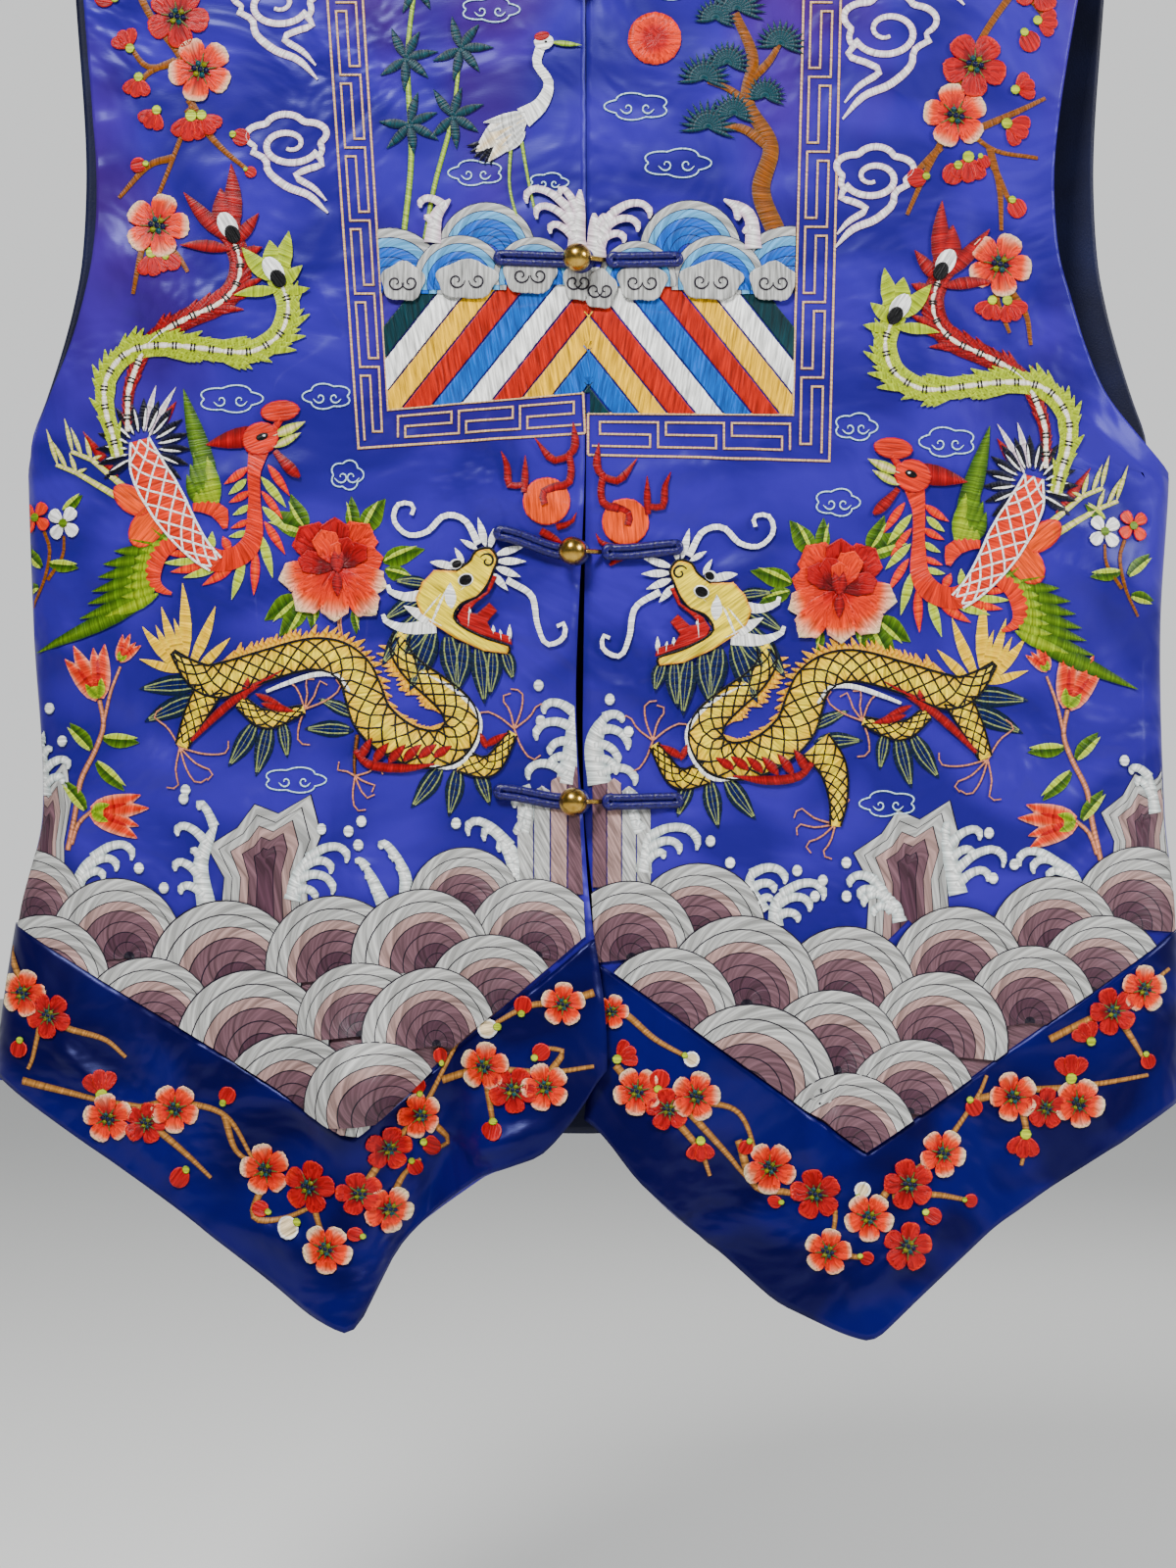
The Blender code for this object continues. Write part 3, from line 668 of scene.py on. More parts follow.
class Hoop:
    """One piece of embroidery. Its patches lie on a front, or on the band over its hem."""

    def __init__(self, name, on_band=False, flip=None, drop=0.0):
        """flip is the line that a mirrored motif is turned over, and drop moves it down the sheet."""
        self.name, self.flip, self.drop = name, flip, drop
        self.base = SEWN_LIFT + (SEAM_GAP + BAND_THICK if on_band else 0.0)
        self.patches, self.grids, self.trims = [], [], []

    def place(self, points):
        points = np.array(points, float)
        points[:, 1] += self.drop
        if self.flip is not None:
            points[:, 0] = 2 * self.flip - points[:, 0]
        return sheet_to_cloth(points)

    def patch(self, outline, colours, widths=(), grain=0.0, layer=0, rise=0.3, fade=None):
        """A closed shape. widths are the rings of colour from the edge inwards, in millimetres.

        grain is the stitches' angle on the sheet, or a point that they run out from. With fade, the
        colours run out from that point instead, between two distances on the sheet."""
        outline = self.place(outline)
        outline = outline[np.linalg.norm(outline - np.roll(outline, 1, axis=0), axis=1) > 1e-5]
        after = np.roll(outline, -1, axis=0)
        counts = [math.ceil(run / STITCH_PITCH) for run in np.linalg.norm(after - outline, axis=1)]
        outline = np.vstack([
            start + (end - start) * np.arange(count)[:, None] / count
            for start, end, count in zip(outline, after, counts)
        ])
        after = np.roll(outline, -1, axis=0)
        area = 0.5 * np.sum(outline[:, 0] * after[:, 1] - after[:, 0] * outline[:, 1])
        if area < 0:
            outline = outline[::-1]
        girth = np.linalg.norm(np.roll(outline, -1, axis=0) - outline, axis=1).sum()
        thin = 1000 * abs(area) / max(girth, 1e-6)
        rings, room = [], thin * 1.5
        for width in (min(EDGE_RING, thin * 0.5), *widths):
            if width > room * 0.85:
                break
            rings.append(round(width, 2) or 0.05)
            room -= width
        if not isinstance(grain, (int, float)):
            grain = tuple(self.place([grain])[0])
        elif self.flip is not None:
            grain = 180 - grain
        self.patches.append(dict(
            outline=outline, colours=[THREADS[c] for c in colours], rings=rings, grain=grain,
            lift=layer * LAYER, rise=rise / 1000, large=np.ptp(outline, axis=0).max() > LARGE,
            ragged=min(RAGGED, thin * RAGGED_SHARE),
            fade=fade and (fade[0] * UNIT, (fade[1] - fade[0]) * UNIT),
        ))

    def ribbon(self, path, widths, colours, layer=0, rise=0.3, count=None, columns=2, sharp=False):
        """A strip along a path. widths are its full widths at even stations, from its start to its end.

        The colours run from its edges to its middle. A sharp one keeps the path's corners."""
        path = np.asarray(path, float)
        if sharp:
            legs = [(a, b - a, math.ceil(math.dist(a, b) / CORNER_PITCH)) for a, b in zip(path, path[1:])]
            path = np.vstack([a + run * np.arange(n)[:, None] / n for a, run, n in legs] + [path[-1:]])
            runs = np.diff(path, axis=0)
            runs /= np.linalg.norm(runs, axis=1, keepdims=True)
            normals = np.stack((-runs[:, 1], runs[:, 0]), axis=1)
            joined = np.vstack((normals[:1], normals[:-1] + normals[1:], normals[-1:]))
            reach = np.sum(joined * np.vstack((normals[:1], normals)), axis=1, keepdims=True)
            out = joined / np.maximum(reach, 0.3)
        else:
            run = np.hypot(*np.diff(path, axis=0).T).sum()
            path = spline(path, count or int(np.clip(run / ROUND_PITCH, 3, 60)))
            out = sideways(path)
        count = len(path)
        wide = np.interp(np.linspace(0, 1, count), np.linspace(0, 1, len(widths)), widths)
        across = np.linspace(-1, 1, columns + 1)
        points = path[:, None, :] + out[:, None, :] * (wide[:, None, None] / 2) * across[None, :, None]
        self.grid(points, np.broadcast_to(1 - np.abs(across), (count, columns + 1)), colours, layer, rise)

    def grid(self, points, inward, colours, layer, rise, by_row=False, heights=None, slant=0.25):
        """Rows and columns of points. inward runs from 0 at the edge to 1 inside, and picks the colour."""
        rows, columns = points.shape[:2]
        self.grids.append(dict(
            points=self.place(points.reshape(-1, 2)).reshape(rows, columns, 2), inward=inward,
            colours=[THREADS[c] for c in colours], lift=layer * LAYER, rise=rise / 1000, by_row=by_row,
            heights=inward if heights is None else heights, slant=slant,
        ))

    def trim(self, x, y, out_x, out_y):
        """Cut off what lies beyond a line through x, y, on the side that out points to."""
        place = self.place([(x, y), (x + out_x, y + out_y)])
        self.trims.append((place[0], place[1] - place[0]))

    def sew(self, panel):
        """Make the mesh on a front panel. Returns the object."""
        bm = bmesh.new()
        ring = bm.verts.layers.float.new("ring")
        lift = bm.verts.layers.float.new("lift")
        owner = bm.faces.layers.int.new("owner")
        band = bm.faces.layers.float.new("band")
        stitch = bm.loops.layers.uv.new("stitch")
        self.lay_patches(bm, ring, lift, owner)
        self.cut(bm, owner)
        self.ravel(bm, ring, owner)
        for number, strip in enumerate(self.grids, len(self.patches)):
            self.lay_strip(bm, strip, number, ring, lift, owner, band, stitch)
        for point, out in self.trims:
            bmesh.ops.bisect_plane(
                bm, geom=bm.verts[:] + bm.edges[:] + bm.faces[:], dist=1e-6,
                plane_co=(point[0], 0, point[1]), plane_no=(out[0], 0, out[1]), clear_outer=True,
            )
        self.lay(bm, lift, panel)
        self.colour(bm, ring, owner, band, stitch)
        for layer in (ring, lift):
            bm.verts.layers.float.remove(layer)
        bm.faces.layers.int.remove(owner)
        bm.faces.layers.float.remove(bm.faces.layers.float["band"])
        made = new_object(self.name, bm, floss)
        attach(made, "root")
        print(self.name, len(self.patches), "patches", len(self.grids), "strips", len(made.data.polygons),
              "faces")
        return made

    def lay_patches(self, bm, ring, lift, owner):
        """Make each patch a flat face and inset it ring by ring, all the rings of one width at once."""
        faces = []
        for number, patch in enumerate(self.patches):
            face = bm.faces.new([bm.verts.new((x, 0, z)) for x, z in patch["outline"]])
            face[owner] = number
            for vert in face.verts:
                vert[lift] = patch["lift"]
            faces.append(face)
        for level in range(max([len(p["rings"]) for p in self.patches], default=0)):
            groups = {}
            for face, patch in zip(faces, self.patches):
                if len(patch["rings"]) > level:
                    groups.setdefault(patch["rings"][level], []).append((face, patch))
            for width, members in groups.items():
                bmesh.ops.inset_individual(
                    bm, faces=[face for face, _ in members], thickness=width / 1000, use_even_offset=True
                )
                for face, patch in members:
                    self.shorten(face, width / 500)
                    for vert in face.verts:
                        vert[ring] = level + 1.0
                        vert[lift] = patch["lift"] + patch["rise"]

    def shorten(self, face, limit):
        """Keep an inset corner near the corner that it came from, at tips and in thin places."""
        for vert in face.verts:
            edge = next((e for e in vert.link_edges if face not in e.link_faces), None)
            if edge:
                outer = edge.other_vert(vert)
                step = vert.co - outer.co
                if step.length > limit:
                    vert.co = outer.co + step * (limit / step.length)

    def cut(self, bm, owner):
        """Cut the large patches along a grid, so that they can bend with the cloth."""
        for axis, step in ((0, CUT_X), (2, CUT_Z)):
            large = [f for f in bm.faces if self.patches[f[owner]]["large"]]
            if not large:
                return
            spans = [[v.co[axis] for v in f.verts] for f in large]
            low, high = min(map(min, spans)), max(map(max, spans))
            normal = (1, 0, 0) if axis == 0 else (0, 0, 1)
            for k in range(math.ceil(low / step), math.floor(high / step) + 1):
                at = k * step
                touched, rest = [], []
                for face in large:
                    along = [v.co[axis] for v in face.verts]
                    (touched if min(along) < at < max(along) else rest).append(face)
                if not touched:
                    continue
                edges = dict.fromkeys(e for f in touched for e in f.edges)
                verts = dict.fromkeys(v for f in touched for v in f.verts)
                made = bmesh.ops.bisect_plane(
                    bm, geom=[*verts, *edges, *touched], dist=1e-6, plane_co=Vector(normal) * at,
                    plane_no=normal
                )
                pieces = [f for f in made["geom"] if isinstance(f, bmesh.types.BMFace)]
                large = list(dict.fromkeys(rest + pieces + [f for f in touched if f.is_valid]))

    def ravel(self, bm, ring, owner):
        """Move the outline's points along the stitches by uneven steps, as the ends of stitches are."""
        generator = random.Random(11)
        for vert in bm.verts:
            if vert[ring] > 0.01 or not vert.link_faces:
                continue
            patch = self.patches[vert.link_faces[0][owner]]
            grain, step = patch["grain"], generator.uniform(-1, 1) * patch["ragged"]
            if isinstance(grain, tuple):
                run = Vector((vert.co.x - grain[0], 0, vert.co.z - grain[1])).normalized()
            else:
                run = Vector((math.cos(math.radians(-grain)), 0, math.sin(math.radians(-grain))))
            vert.co += run * step

    def lay_strip(self, bm, strip, number, ring, lift, owner, band, stitch):
        """Make a strip's grid. Its stitches run across it on a slant."""
        points, inward, last = strip["points"], strip["inward"], len(strip["colours"]) - 1
        rows, columns = points.shape[:2]
        made = bmesh.ops.create_grid(bm, x_segments=columns - 1, y_segments=rows - 1, size=1.0)["verts"]
        values = zip(made, points.reshape(-1, 2), inward.reshape(-1), strip["heights"].reshape(-1))
        for vert, (x, z), share, high in values:
            vert.co = (x, 0, z)
            vert[ring] = 1 + share * last
            vert[lift] = strip["lift"] + strip["rise"] * min(high * 1.6, 1.0)
        runs = np.linalg.norm(np.diff(points.mean(axis=1), axis=0), axis=1)
        run = np.concatenate(([0], np.cumsum(runs))) * 1000
        wide = np.linalg.norm(points[:, -1] - points[:, 0], axis=1).mean() * 1000
        place = {vert: divmod(index, columns) for index, vert in enumerate(made)}
        for face in dict.fromkeys(face for vert in made for face in vert.link_faces):
            cells = [place[loop.vert] for loop in face.loops]
            face[owner] = number
            face[band] = float(inward[min(r for r, _ in cells), min(c for _, c in cells)] * last)
            for loop, (r, c) in zip(face.loops, cells):
                across = wide * c / (columns - 1)
                loop[stitch].uv = (run[r] + strip["slant"] * across, across)

    def lay(self, bm, lift, panel):
        """Move every point from the sheet onto the cloth."""
        x, z, high = np.array([(v.co.x, v.co.z, v[lift]) for v in bm.verts]).T
        limit = half_width(x, z) * SIDE_LIMIT
        laid = on_cloth(panel, np.clip(x, -limit, limit), z, high + self.base)
        for vert, point in zip(bm.verts, laid):
            vert.co = point

    def colour(self, bm, ring, owner, band, stitch):
        """Give each corner the colour of its thread, and on a patch the direction of its stitches."""
        thread = bm.loops.layers.float_color.new("thread")
        parts = self.patches + self.grids
        for face in bm.faces:
            part = parts[face[owner]]
            palette, grain, fade = part["colours"], part.get("grain"), part.get("fade")
            last = len(palette) - 1
            if isinstance(grain, tuple):
                middle = face.calc_center_median()
                base = math.atan2(middle.z - grain[1], middle.x - grain[0])
                mean = math.hypot(middle.x - grain[0], middle.z - grain[1])
            for loop in face.loops:
                x, z, at = loop.vert.co.x, loop.vert.co.z, loop.vert[ring] - 1
                if fade:
                    at = (math.hypot(x - grain[0], z - grain[1]) - fade[0]) / fade[1] * last
                elif part.get("by_row"):
                    at = int(face[band] + 0.5)
                at = min(max(at, 0), last)
                low = int(at)
                pair = zip(palette[low], palette[min(low + 1, last)])
                loop[thread] = (*(a + (b - a) * (at - low) for a, b in pair), 1.0)
                if isinstance(grain, tuple):
                    spin = math.atan2(z - grain[1], x - grain[0]) - base
                    spin = (spin + math.pi) % (2 * math.pi) - math.pi
                    out = math.hypot(x - grain[0], z - grain[1])
                    loop[stitch].uv = ((base + spin) * mean * 1000, out * 1000)
                elif grain is not None:
                    c, s = math.cos(math.radians(-grain)), math.sin(math.radians(-grain))
                    loop[stitch].uv = ((z * c - x * s) * 1000, (x * c + z * s) * 1000)


print("sheet unit", UNIT, "m; threads", len(THREADS))

# %% [markdown]
# ## Stitches that many motifs share
# A leaf, a feather and a flame are all a strip that swells and comes to a point, so one helper
# draws them. A curl is a strip on a spiral. A petal is a closed shape with rings of colour, stitched
# out from the flower's middle.

# %% Shared stitches
TAPER = (0.12, 0.62, 0.92, 1.0, 0.92, 0.70, 0.40, 0.05)


def line_at(path, count=200):
    """A smooth path with its running length, from 0 to 1."""
    path = spline(np.asarray(path, float), count)
    run = np.concatenate(([0], np.cumsum(np.hypot(*np.diff(path, axis=0).T))))
    return path, run


def leaf(hoop, x, y, length, width, angle, colours, bend=0.0, layer=0, rise=0.28, shape=TAPER, count=7):
    """A pointed leaf that grows from a point at an angle. bend is how far its tip leans aside."""
    along = np.linspace(0, 1, count)
    line = turned(np.stack((along * length, bend * along**2), axis=1), x, y, angle)
    hoop.ribbon(line, [width * share for share in shape], colours, layer, rise, count=count)


def tufts(hoop, rows, colours, layer=0, rise=0.28):
    """A table of leaves: x, y, length, width, angle, bend."""
    for row in rows:
        x, y, length, width, angle, bend = row
        leaf(hoop, x, y, length, width, angle, colours, bend, layer, rise)


def curl(hoop, x, y, radius, start, turns, width, colours, layer=0, tail=0.0, rise=0.3):
    """A spiral strip. turns is negative for one that winds the other way."""
    count = int(10 + 14 * abs(turns))
    share = np.linspace(0, 1, count)
    angle = np.radians(start + 360 * turns * share)
    out = radius * (1 - 0.78 * share)
    line = np.stack((x + out * np.cos(angle), y + out * np.sin(angle)), axis=1)
    if tail:
        run = (line[0] - line[1]) / np.linalg.norm(line[0] - line[1])
        line = np.vstack((line[0] + run * tail, line[0] + run * tail * 0.5, line))
    hoop.ribbon(line, [width * 0.5, width, width, width * 0.9, width * 0.7], colours, layer, rise,
                count=count)


def disc(hoop, x, y, radius, colours, widths=(), layer=0, rise=0.35, count=16, grain=0.0, tall=1.0):
    """A round patch. tall stretches it downwards."""
    turn = np.linspace(0, 2 * np.pi, count, endpoint=False)
    outline = np.stack((x + radius * np.cos(turn), y + tall * radius * np.sin(turn)), axis=1)
    hoop.patch(outline, colours, widths, grain, layer, rise)


def petal(radius, wide, count=15):
    """Outline of a petal with a small notch, that grows from the origin along +x."""
    turn = np.linspace(-np.pi, np.pi, count, endpoint=False)
    along = 0.56 + 0.44 * np.cos(turn) * (1 - 0.07 * np.exp(-((turn / 0.35) ** 2)))
    across = wide * np.sin(turn) * (0.76 + 0.24 * np.cos(turn))
    return np.stack((along, across), axis=1) * radius


BLOSSOMS = {
    "coral": ("dark_red", "brick", "orange_red", "orange_red", "coral", "pale_pink", "cream"),
    "red": ("dark_red", "dark_red", "brick", "brick", "brick", "brick", "orange_red"),
    "white": ("coral", "salmon", "cream", "white", "white"),
}


def knots(hoop, x, y, radius, size):
    """Small round knots: one in the middle and a ring of six round it."""
    disc(hoop, x, y, size, ("navy",), (), 8, 0.45, 7)
    for k in range(6):
        dot = turned([(radius, 0)], x, y, 60 * k + 12)[0]
        disc(hoop, *dot, size, (("navy", "teal", "olive")[k % 3],), (), 8, 0.45, 7)


def blossom(hoop, x, y, radius, turn=0.0, kind="coral"):
    """A plum blossom from the front: five petals that pale outwards, stamens and a ring of knots."""
    for k in range(5):
        outline = turned(petal(radius, 0.50), x, y, turn + 72 * k)
        hoop.patch(outline, BLOSSOMS[kind], (0.5, radius * UNIT * 80), (x, y), 1 + 3 * (k % 2), 0.34,
                   (radius * 0.16, radius * 0.98))
    for k in range(10):
        reach = radius * (0.50 if k % 2 else 0.36)
        leaf(hoop, x, y, reach, 1.9, turn + 36 * k, ("green_blue", "olive"), 0, 7, 0.15, (1, 1, 1, 0.6), 3)
    knots(hoop, x, y, radius * 0.19, radius * 0.085)


def bud(hoop, x, y, radius, angle, kind="red"):
    """A round bud with a green cap, or a half-open one. angle points away from the twig."""
    colours = ("orange_red", "brick", "brick") if kind == "red" else ("white", "white", "cream")
    back = turned([(-radius, 0)], x, y, angle)[0]
    if radius < 12:
        disc(hoop, x, y, radius, colours, (0.6, 0.6), 1, 0.36, 14, angle)
    else:
        for k in (-1, 1, 0):
            outline = turned(petal(radius * 1.8, 0.36), *back, angle + 34 * k)
            hoop.patch(outline, colours, (0.6, 0.6), tuple(back), 1 + (k == 0), 0.36)
    disc(hoop, *back, radius * 0.42, ("leaf", "lime"), (0.4,), 3, 0.36, 9)


def twig(hoop, points, start, end, colours=BARK):
    """A bent twig that narrows from start to end."""
    hoop.ribbon(points, (start, (start + end) / 2 * 1.05, end), colours)


def keep(hoop, panel):
    """Sew a hoop onto a front."""
    hoop.sew(panel)


# %% [markdown]
# ## Plum branches
# Plum blossom runs down beside each armhole and all along the hem bands. The twigs are drawn first,
# in brown floss, and the flowers sit over them on higher layers.

# %% Plum branches at the shoulders
UPPER_TWIGS = {
    "left": (
        ((128, -40), (150, 10), (185, 60), (196, 100), (176, 160), (158, 205)),
        ((185, 60), (150, 66), (128, 40)), ((178, 60), (150, 72), (136, 92)),
        ((190, 110), (225, 150), (256, 176)), ((160, 215), (146, 250), (136, 300)),
        ((165, 245), (182, 262), (192, 278)), ((176, 160), (150, 168), (120, 200)),
        ((192, 100), (210, 128)), ((130, -20), (108, -10)),
    ),
    "right": (
        ((1060, -40), (1020, 10), (990, 62), (975, 110), (1010, 150), (1060, 160)),
        ((1010, 150), (1020, 190), (1022, 235)), ((975, 120), (950, 165), (925, 220)),
        ((1000, 130), (1040, 112), (1068, 98)), ((1022, 262), (1016, 300), (1030, 340)),
        ((1010, 160), (1035, 215)), ((960, 150), (925, 185)), ((1022, 285), (1046, 318), (1052, 352)),
        ((1050, -10), (1072, 20)),
    ),
}
UPPER_FLOWERS = {
    "left": ((180, 15, 33, 10, "red"), (204, 70, 34, 30, "coral"), (160, 230, 34, 0, "coral")),
    "right": ((995, 65, 34, 20, "red"), (975, 118, 34, 44, "coral"), (1020, 270, 34, 8, "coral"),
              (1062, -20, 30, 0, "red")),
}
UPPER_BUDS = {
    "left": (
        (125, 36, 12, -120), (138, 88, 12, 100), (153, 121, 12, 120), (192, 132, 15, 100),
        (212, 128, 13, 60), (246, 140, 9, 20), (140, 167, 8, 170), (157, 272, 14, 80), (104, -8, 11, 190),
        (176, 268, 9, 40), (256, 176, 6, 30),
    ),
    "right": (
        (1048, 86, 12, -20), (1040, 132, 14, 30), (988, 175, 15, 90), (972, 178, 11, 120),
        (935, 182, 10, 170), (1038, 212, 10, 60), (1008, 318, 12, 110), (1034, 318, 13, 60),
        (1072, 20, 12, 10), (1052, 40, 11, 60), (1004, 165, 7, 60),
    ),
}
for side in ("left", "right"):
    hoop = Hoop(f"plum_branch_{side}")
    for line in UPPER_TWIGS[side]:
        twig(hoop, line, 8.0, 4.0)
    for x, y, radius, turn, kind in UPPER_FLOWERS[side]:
        blossom(hoop, x, y, radius, turn, kind)
    for x, y, radius, angle in UPPER_BUDS[side]:
        bud(hoop, x, y, radius, angle)
    keep(hoop, side)

# %% Plum branches on the hem bands
BAND_TWIGS = {
    "left": (
        ((4, 968), (18, 1000), (40, 1030), (34, 1076), (28, 1092)),
        ((22, 1104), (60, 1112), (110, 1122), (160, 1130)),
        ((40, 1030), (66, 1048), (108, 1060), (130, 1078)),
        ((140, 1130), (180, 1124), (232, 1136), (262, 1180)), ((160, 1150), (196, 1180), (218, 1200)),
        ((232, 1136), (243, 1170), (262, 1184)), ((280, 1190), (262, 1236), (290, 1240), (330, 1222)),
        ((322, 1205), (332, 1240), (342, 1264)),
        ((370, 1210), (398, 1166), (428, 1132), (452, 1092), (470, 1060)),
        ((397, 1226), (410, 1196), (428, 1180)), ((452, 1100), (497, 1088), (560, 1090), (606, 1084)),
        ((497, 1085), (505, 1135), (508, 1152)), ((606, 1010), (574, 1020), (540, 1024), (500, 1046)),
        ((560, 1092), (575, 1070), (560, 1066)), ((428, 1135), (460, 1158), (440, 1172)),
    ),
    "right": (
        ((614, 1020), (640, 1034), (668, 1058), (704, 1078)),
        ((628, 1084), (652, 1108), (700, 1120), (752, 1132), (776, 1190)),
        ((700, 1130), (742, 1176), (770, 1206)),
        ((752, 1160), (770, 1206), (800, 1212), (846, 1222), (846, 1262)),
        ((690, 1142), (712, 1170), (722, 1196)),
        ((884, 1236), (905, 1204), (950, 1174), (992, 1120), (1004, 1096)),
        ((905, 1216), (946, 1214), (986, 1222)), ((992, 1120), (1036, 1112), (1100, 1108), (1172, 1098)),
        ((1040, 1124), (1046, 1160), (1040, 1188)), ((1070, 1060), (1110, 1040), (1142, 1028), (1196, 990)),
        ((1142, 1040), (1156, 1062), (1168, 1082)), ((846, 1262), (858, 1272), (880, 1276)),
    ),
}
BAND_FLOWERS = {
    "left": (
        (22, 1015, 25, "coral"), (50, 1037, 24, "red"), (112, 1140, 26, "coral"), (150, 1145, 22, "red"),
        (180, 1130, 26, "coral"), (275, 1190, 27, "coral"), (322, 1205, 27, "red"),
        (340, 1265, 25, "coral"), (370, 1210, 22, "red"), (397, 1166, 23, "red"), (397, 1228, 24, "coral"),
        (428, 1135, 24, "coral"), (497, 1085, 25, "coral"), (525, 1108, 24, "red"),
        (557, 1105, 25, "coral"), (575, 1022, 23, "coral"),
    ),
    "right": (
        (624, 1030, 18, "coral"), (650, 1110, 25, "coral"), (680, 1128, 22, "red"),
        (708, 1115, 26, "coral"), (785, 1188, 27, "coral"), (830, 1213, 26, "red"),
        (842, 1270, 24, "coral"), (882, 1235, 25, "coral"), (922, 1203, 26, "red"), (920, 1265, 25, "red"),
        (957, 1173, 25, "coral"), (1032, 1118, 26, "coral"), (1066, 1130, 22, "red"),
        (1100, 1125, 26, "coral"), (1135, 1032, 25, "red"), (1168, 1010, 25, "coral"),
    ),
}
BAND_BUDS = {
    "left": (
        (18, 1072, 9, 100, "red"), (104, 1102, 14, -100, "red"), (235, 1116, 9, -60, "red"),
        (185, 1200, 10, 130, "red"), (270, 1230, 9, 200, "red"), (300, 1247, 11, 150, "white"),
        (440, 1166, 10, 20, "red"), (422, 1188, 8, 60, "red"), (505, 1150, 10, 100, "red"),
        (450, 1075, 8, -100, "red"), (553, 1070, 9, -40, "red"), (535, 1023, 9, -80, "red"),
        (500, 1047, 10, 170, "white"), (366, 1250, 7, 200, "red"), (425, 1105, 8, -100, "red"),
    ),
    "right": (
        (640, 1072, 12, -30, "red"), (704, 1078, 8, 30, "white"), (672, 1098, 10, -80, "red"),
        (760, 1168, 8, 120, "red"), (712, 1172, 12, 90, "red"), (790, 1222, 7, 180, "red"),
        (946, 1236, 9, 30, "red"), (986, 1222, 7, 10, "red"), (990, 1128, 9, 60, "red"),
        (1042, 1170, 14, 100, "red"), (1092, 1086, 14, -90, "red"), (1106, 1052, 12, -120, "red"),
        (1172, 1084, 8, 70, "red"), (880, 1276, 7, 20, "red"), (876, 1208, 8, -60, "white"),
    ),
}
for side in ("left", "right"):
    hoop = Hoop(f"plum_band_{side}", on_band=True)
    for line in BAND_TWIGS[side]:
        twig(hoop, line, 8.0, 4.0, ("tan", "sand"))
    for index, (x, y, radius, kind) in enumerate(BAND_FLOWERS[side]):
        blossom(hoop, x, y, radius, 23 * index, kind)
    for x, y, radius, angle, kind in BAND_BUDS[side]:
        bud(hoop, x, y, radius, angle, kind)
    keep(hoop, side)

# %% [markdown]
# ## The sea
# The old wave pattern is rows of overlapping scales, each a fan of bands with a dark line between
# them. A fan is a small grid bent round an arc. Later rows lie over earlier ones, as they do in the
# embroidery, and the whole sea is cut off along the hem band's upper edge.

# %% Waves, rocks and foam
SEA_BANDS = ("wave_white", "wave_white", "wave_pink", "wave_mauve", "wave_mauve", "wave_deep", "wave_deep")
SEA_WIDTHS = (1.1, 1.0, 0.85, 1.0, 0.95, 0.9, 0.9)


def nest(hoop, outline, centre, bands, layer=0, inner=0.12, rise=0.3, line="wave_line", widths=None):
    """Nested copies of an outline, drawn towards a centre, with a thin line between the bands of colour.

    centre is one point, or a point for each point of the outline."""
    outline = np.array(outline, float)
    centre = np.broadcast_to(np.array(centre, float), outline.shape)
    edges, heights, colours = [1.0], [0.0], []
    widths = widths or (1.0,) * len(bands)
    for k, colour in enumerate(bands):
        outer, step = 1 - (1 - inner) * sum(widths[:k]) / sum(widths), (1 - inner) * widths[k] / sum(widths)
        for share, high, name in ((0.10, 0.1, line), (0.50, 1.0, colour), (1.0, 0.1, colour)):
            edges.append(outer - step * share)
            heights.append(high)
            colours.append(name)
    if inner:
        edges.append(0.0)
        heights.append(0.1)
        colours.append(line)
    points = centre + (outline - centre) * np.array(edges)[:, None, None]
    rings = np.broadcast_to(np.arange(len(edges))[:, None] / len(colours), points.shape[:2])
    tall = np.broadcast_to(np.array(heights)[:, None], points.shape[:2])
    hoop.grid(points, rings, (*colours, colours[-1]), layer, rise, True, tall, 0.8)


def fan(hoop, x, y, radius, bands, line, layer, start, end, segments, inner=0.12, rise=0.3, lean=0.0,
        widths=None):
    """A wave scale: bands of colour from the rim inwards. lean pushes its middle to one side."""
    turn = np.radians(np.linspace(start, end, segments + 1))
    outline = np.stack((x + radius * np.cos(turn), y + radius * np.sin(turn)), axis=1)
    nest(hoop, outline, (x + lean * radius, y + 0.16 * radius), bands, layer, inner, rise, line, widths)


ROCK_OUTLINE = (
    (-0.44, 0.36), (-0.38, -0.30), (-0.54, -0.56), (-0.26, -0.72), (-0.10, -0.92), (0.12, -0.84),
    (0.42, -1.0), (0.52, -0.66), (0.38, -0.34), (0.44, 0.36),
)


def in_thirds(line):
    """A line with two points added along each of its runs."""
    added = [start + (end - start) * t for start, end in zip(line, line[1:]) for t in (0, 0.33, 0.67)]
    return [*added, line[-1]]


def rock(hoop, x, y, width, height, bands):
    """A crystal-like rock that stands out of the water, in nested outlines round a standing line."""
    outline = np.array([(x + a * width, y + b * height) for a, b in ROCK_OUTLINE])
    centre = [(x, min(max(down, y - 0.46 * height), y)) for down in outline[:, 1]]
    nest(hoop, in_thirds(outline), in_thirds(np.array(centre)), bands, 0, 0.0, 0.35)


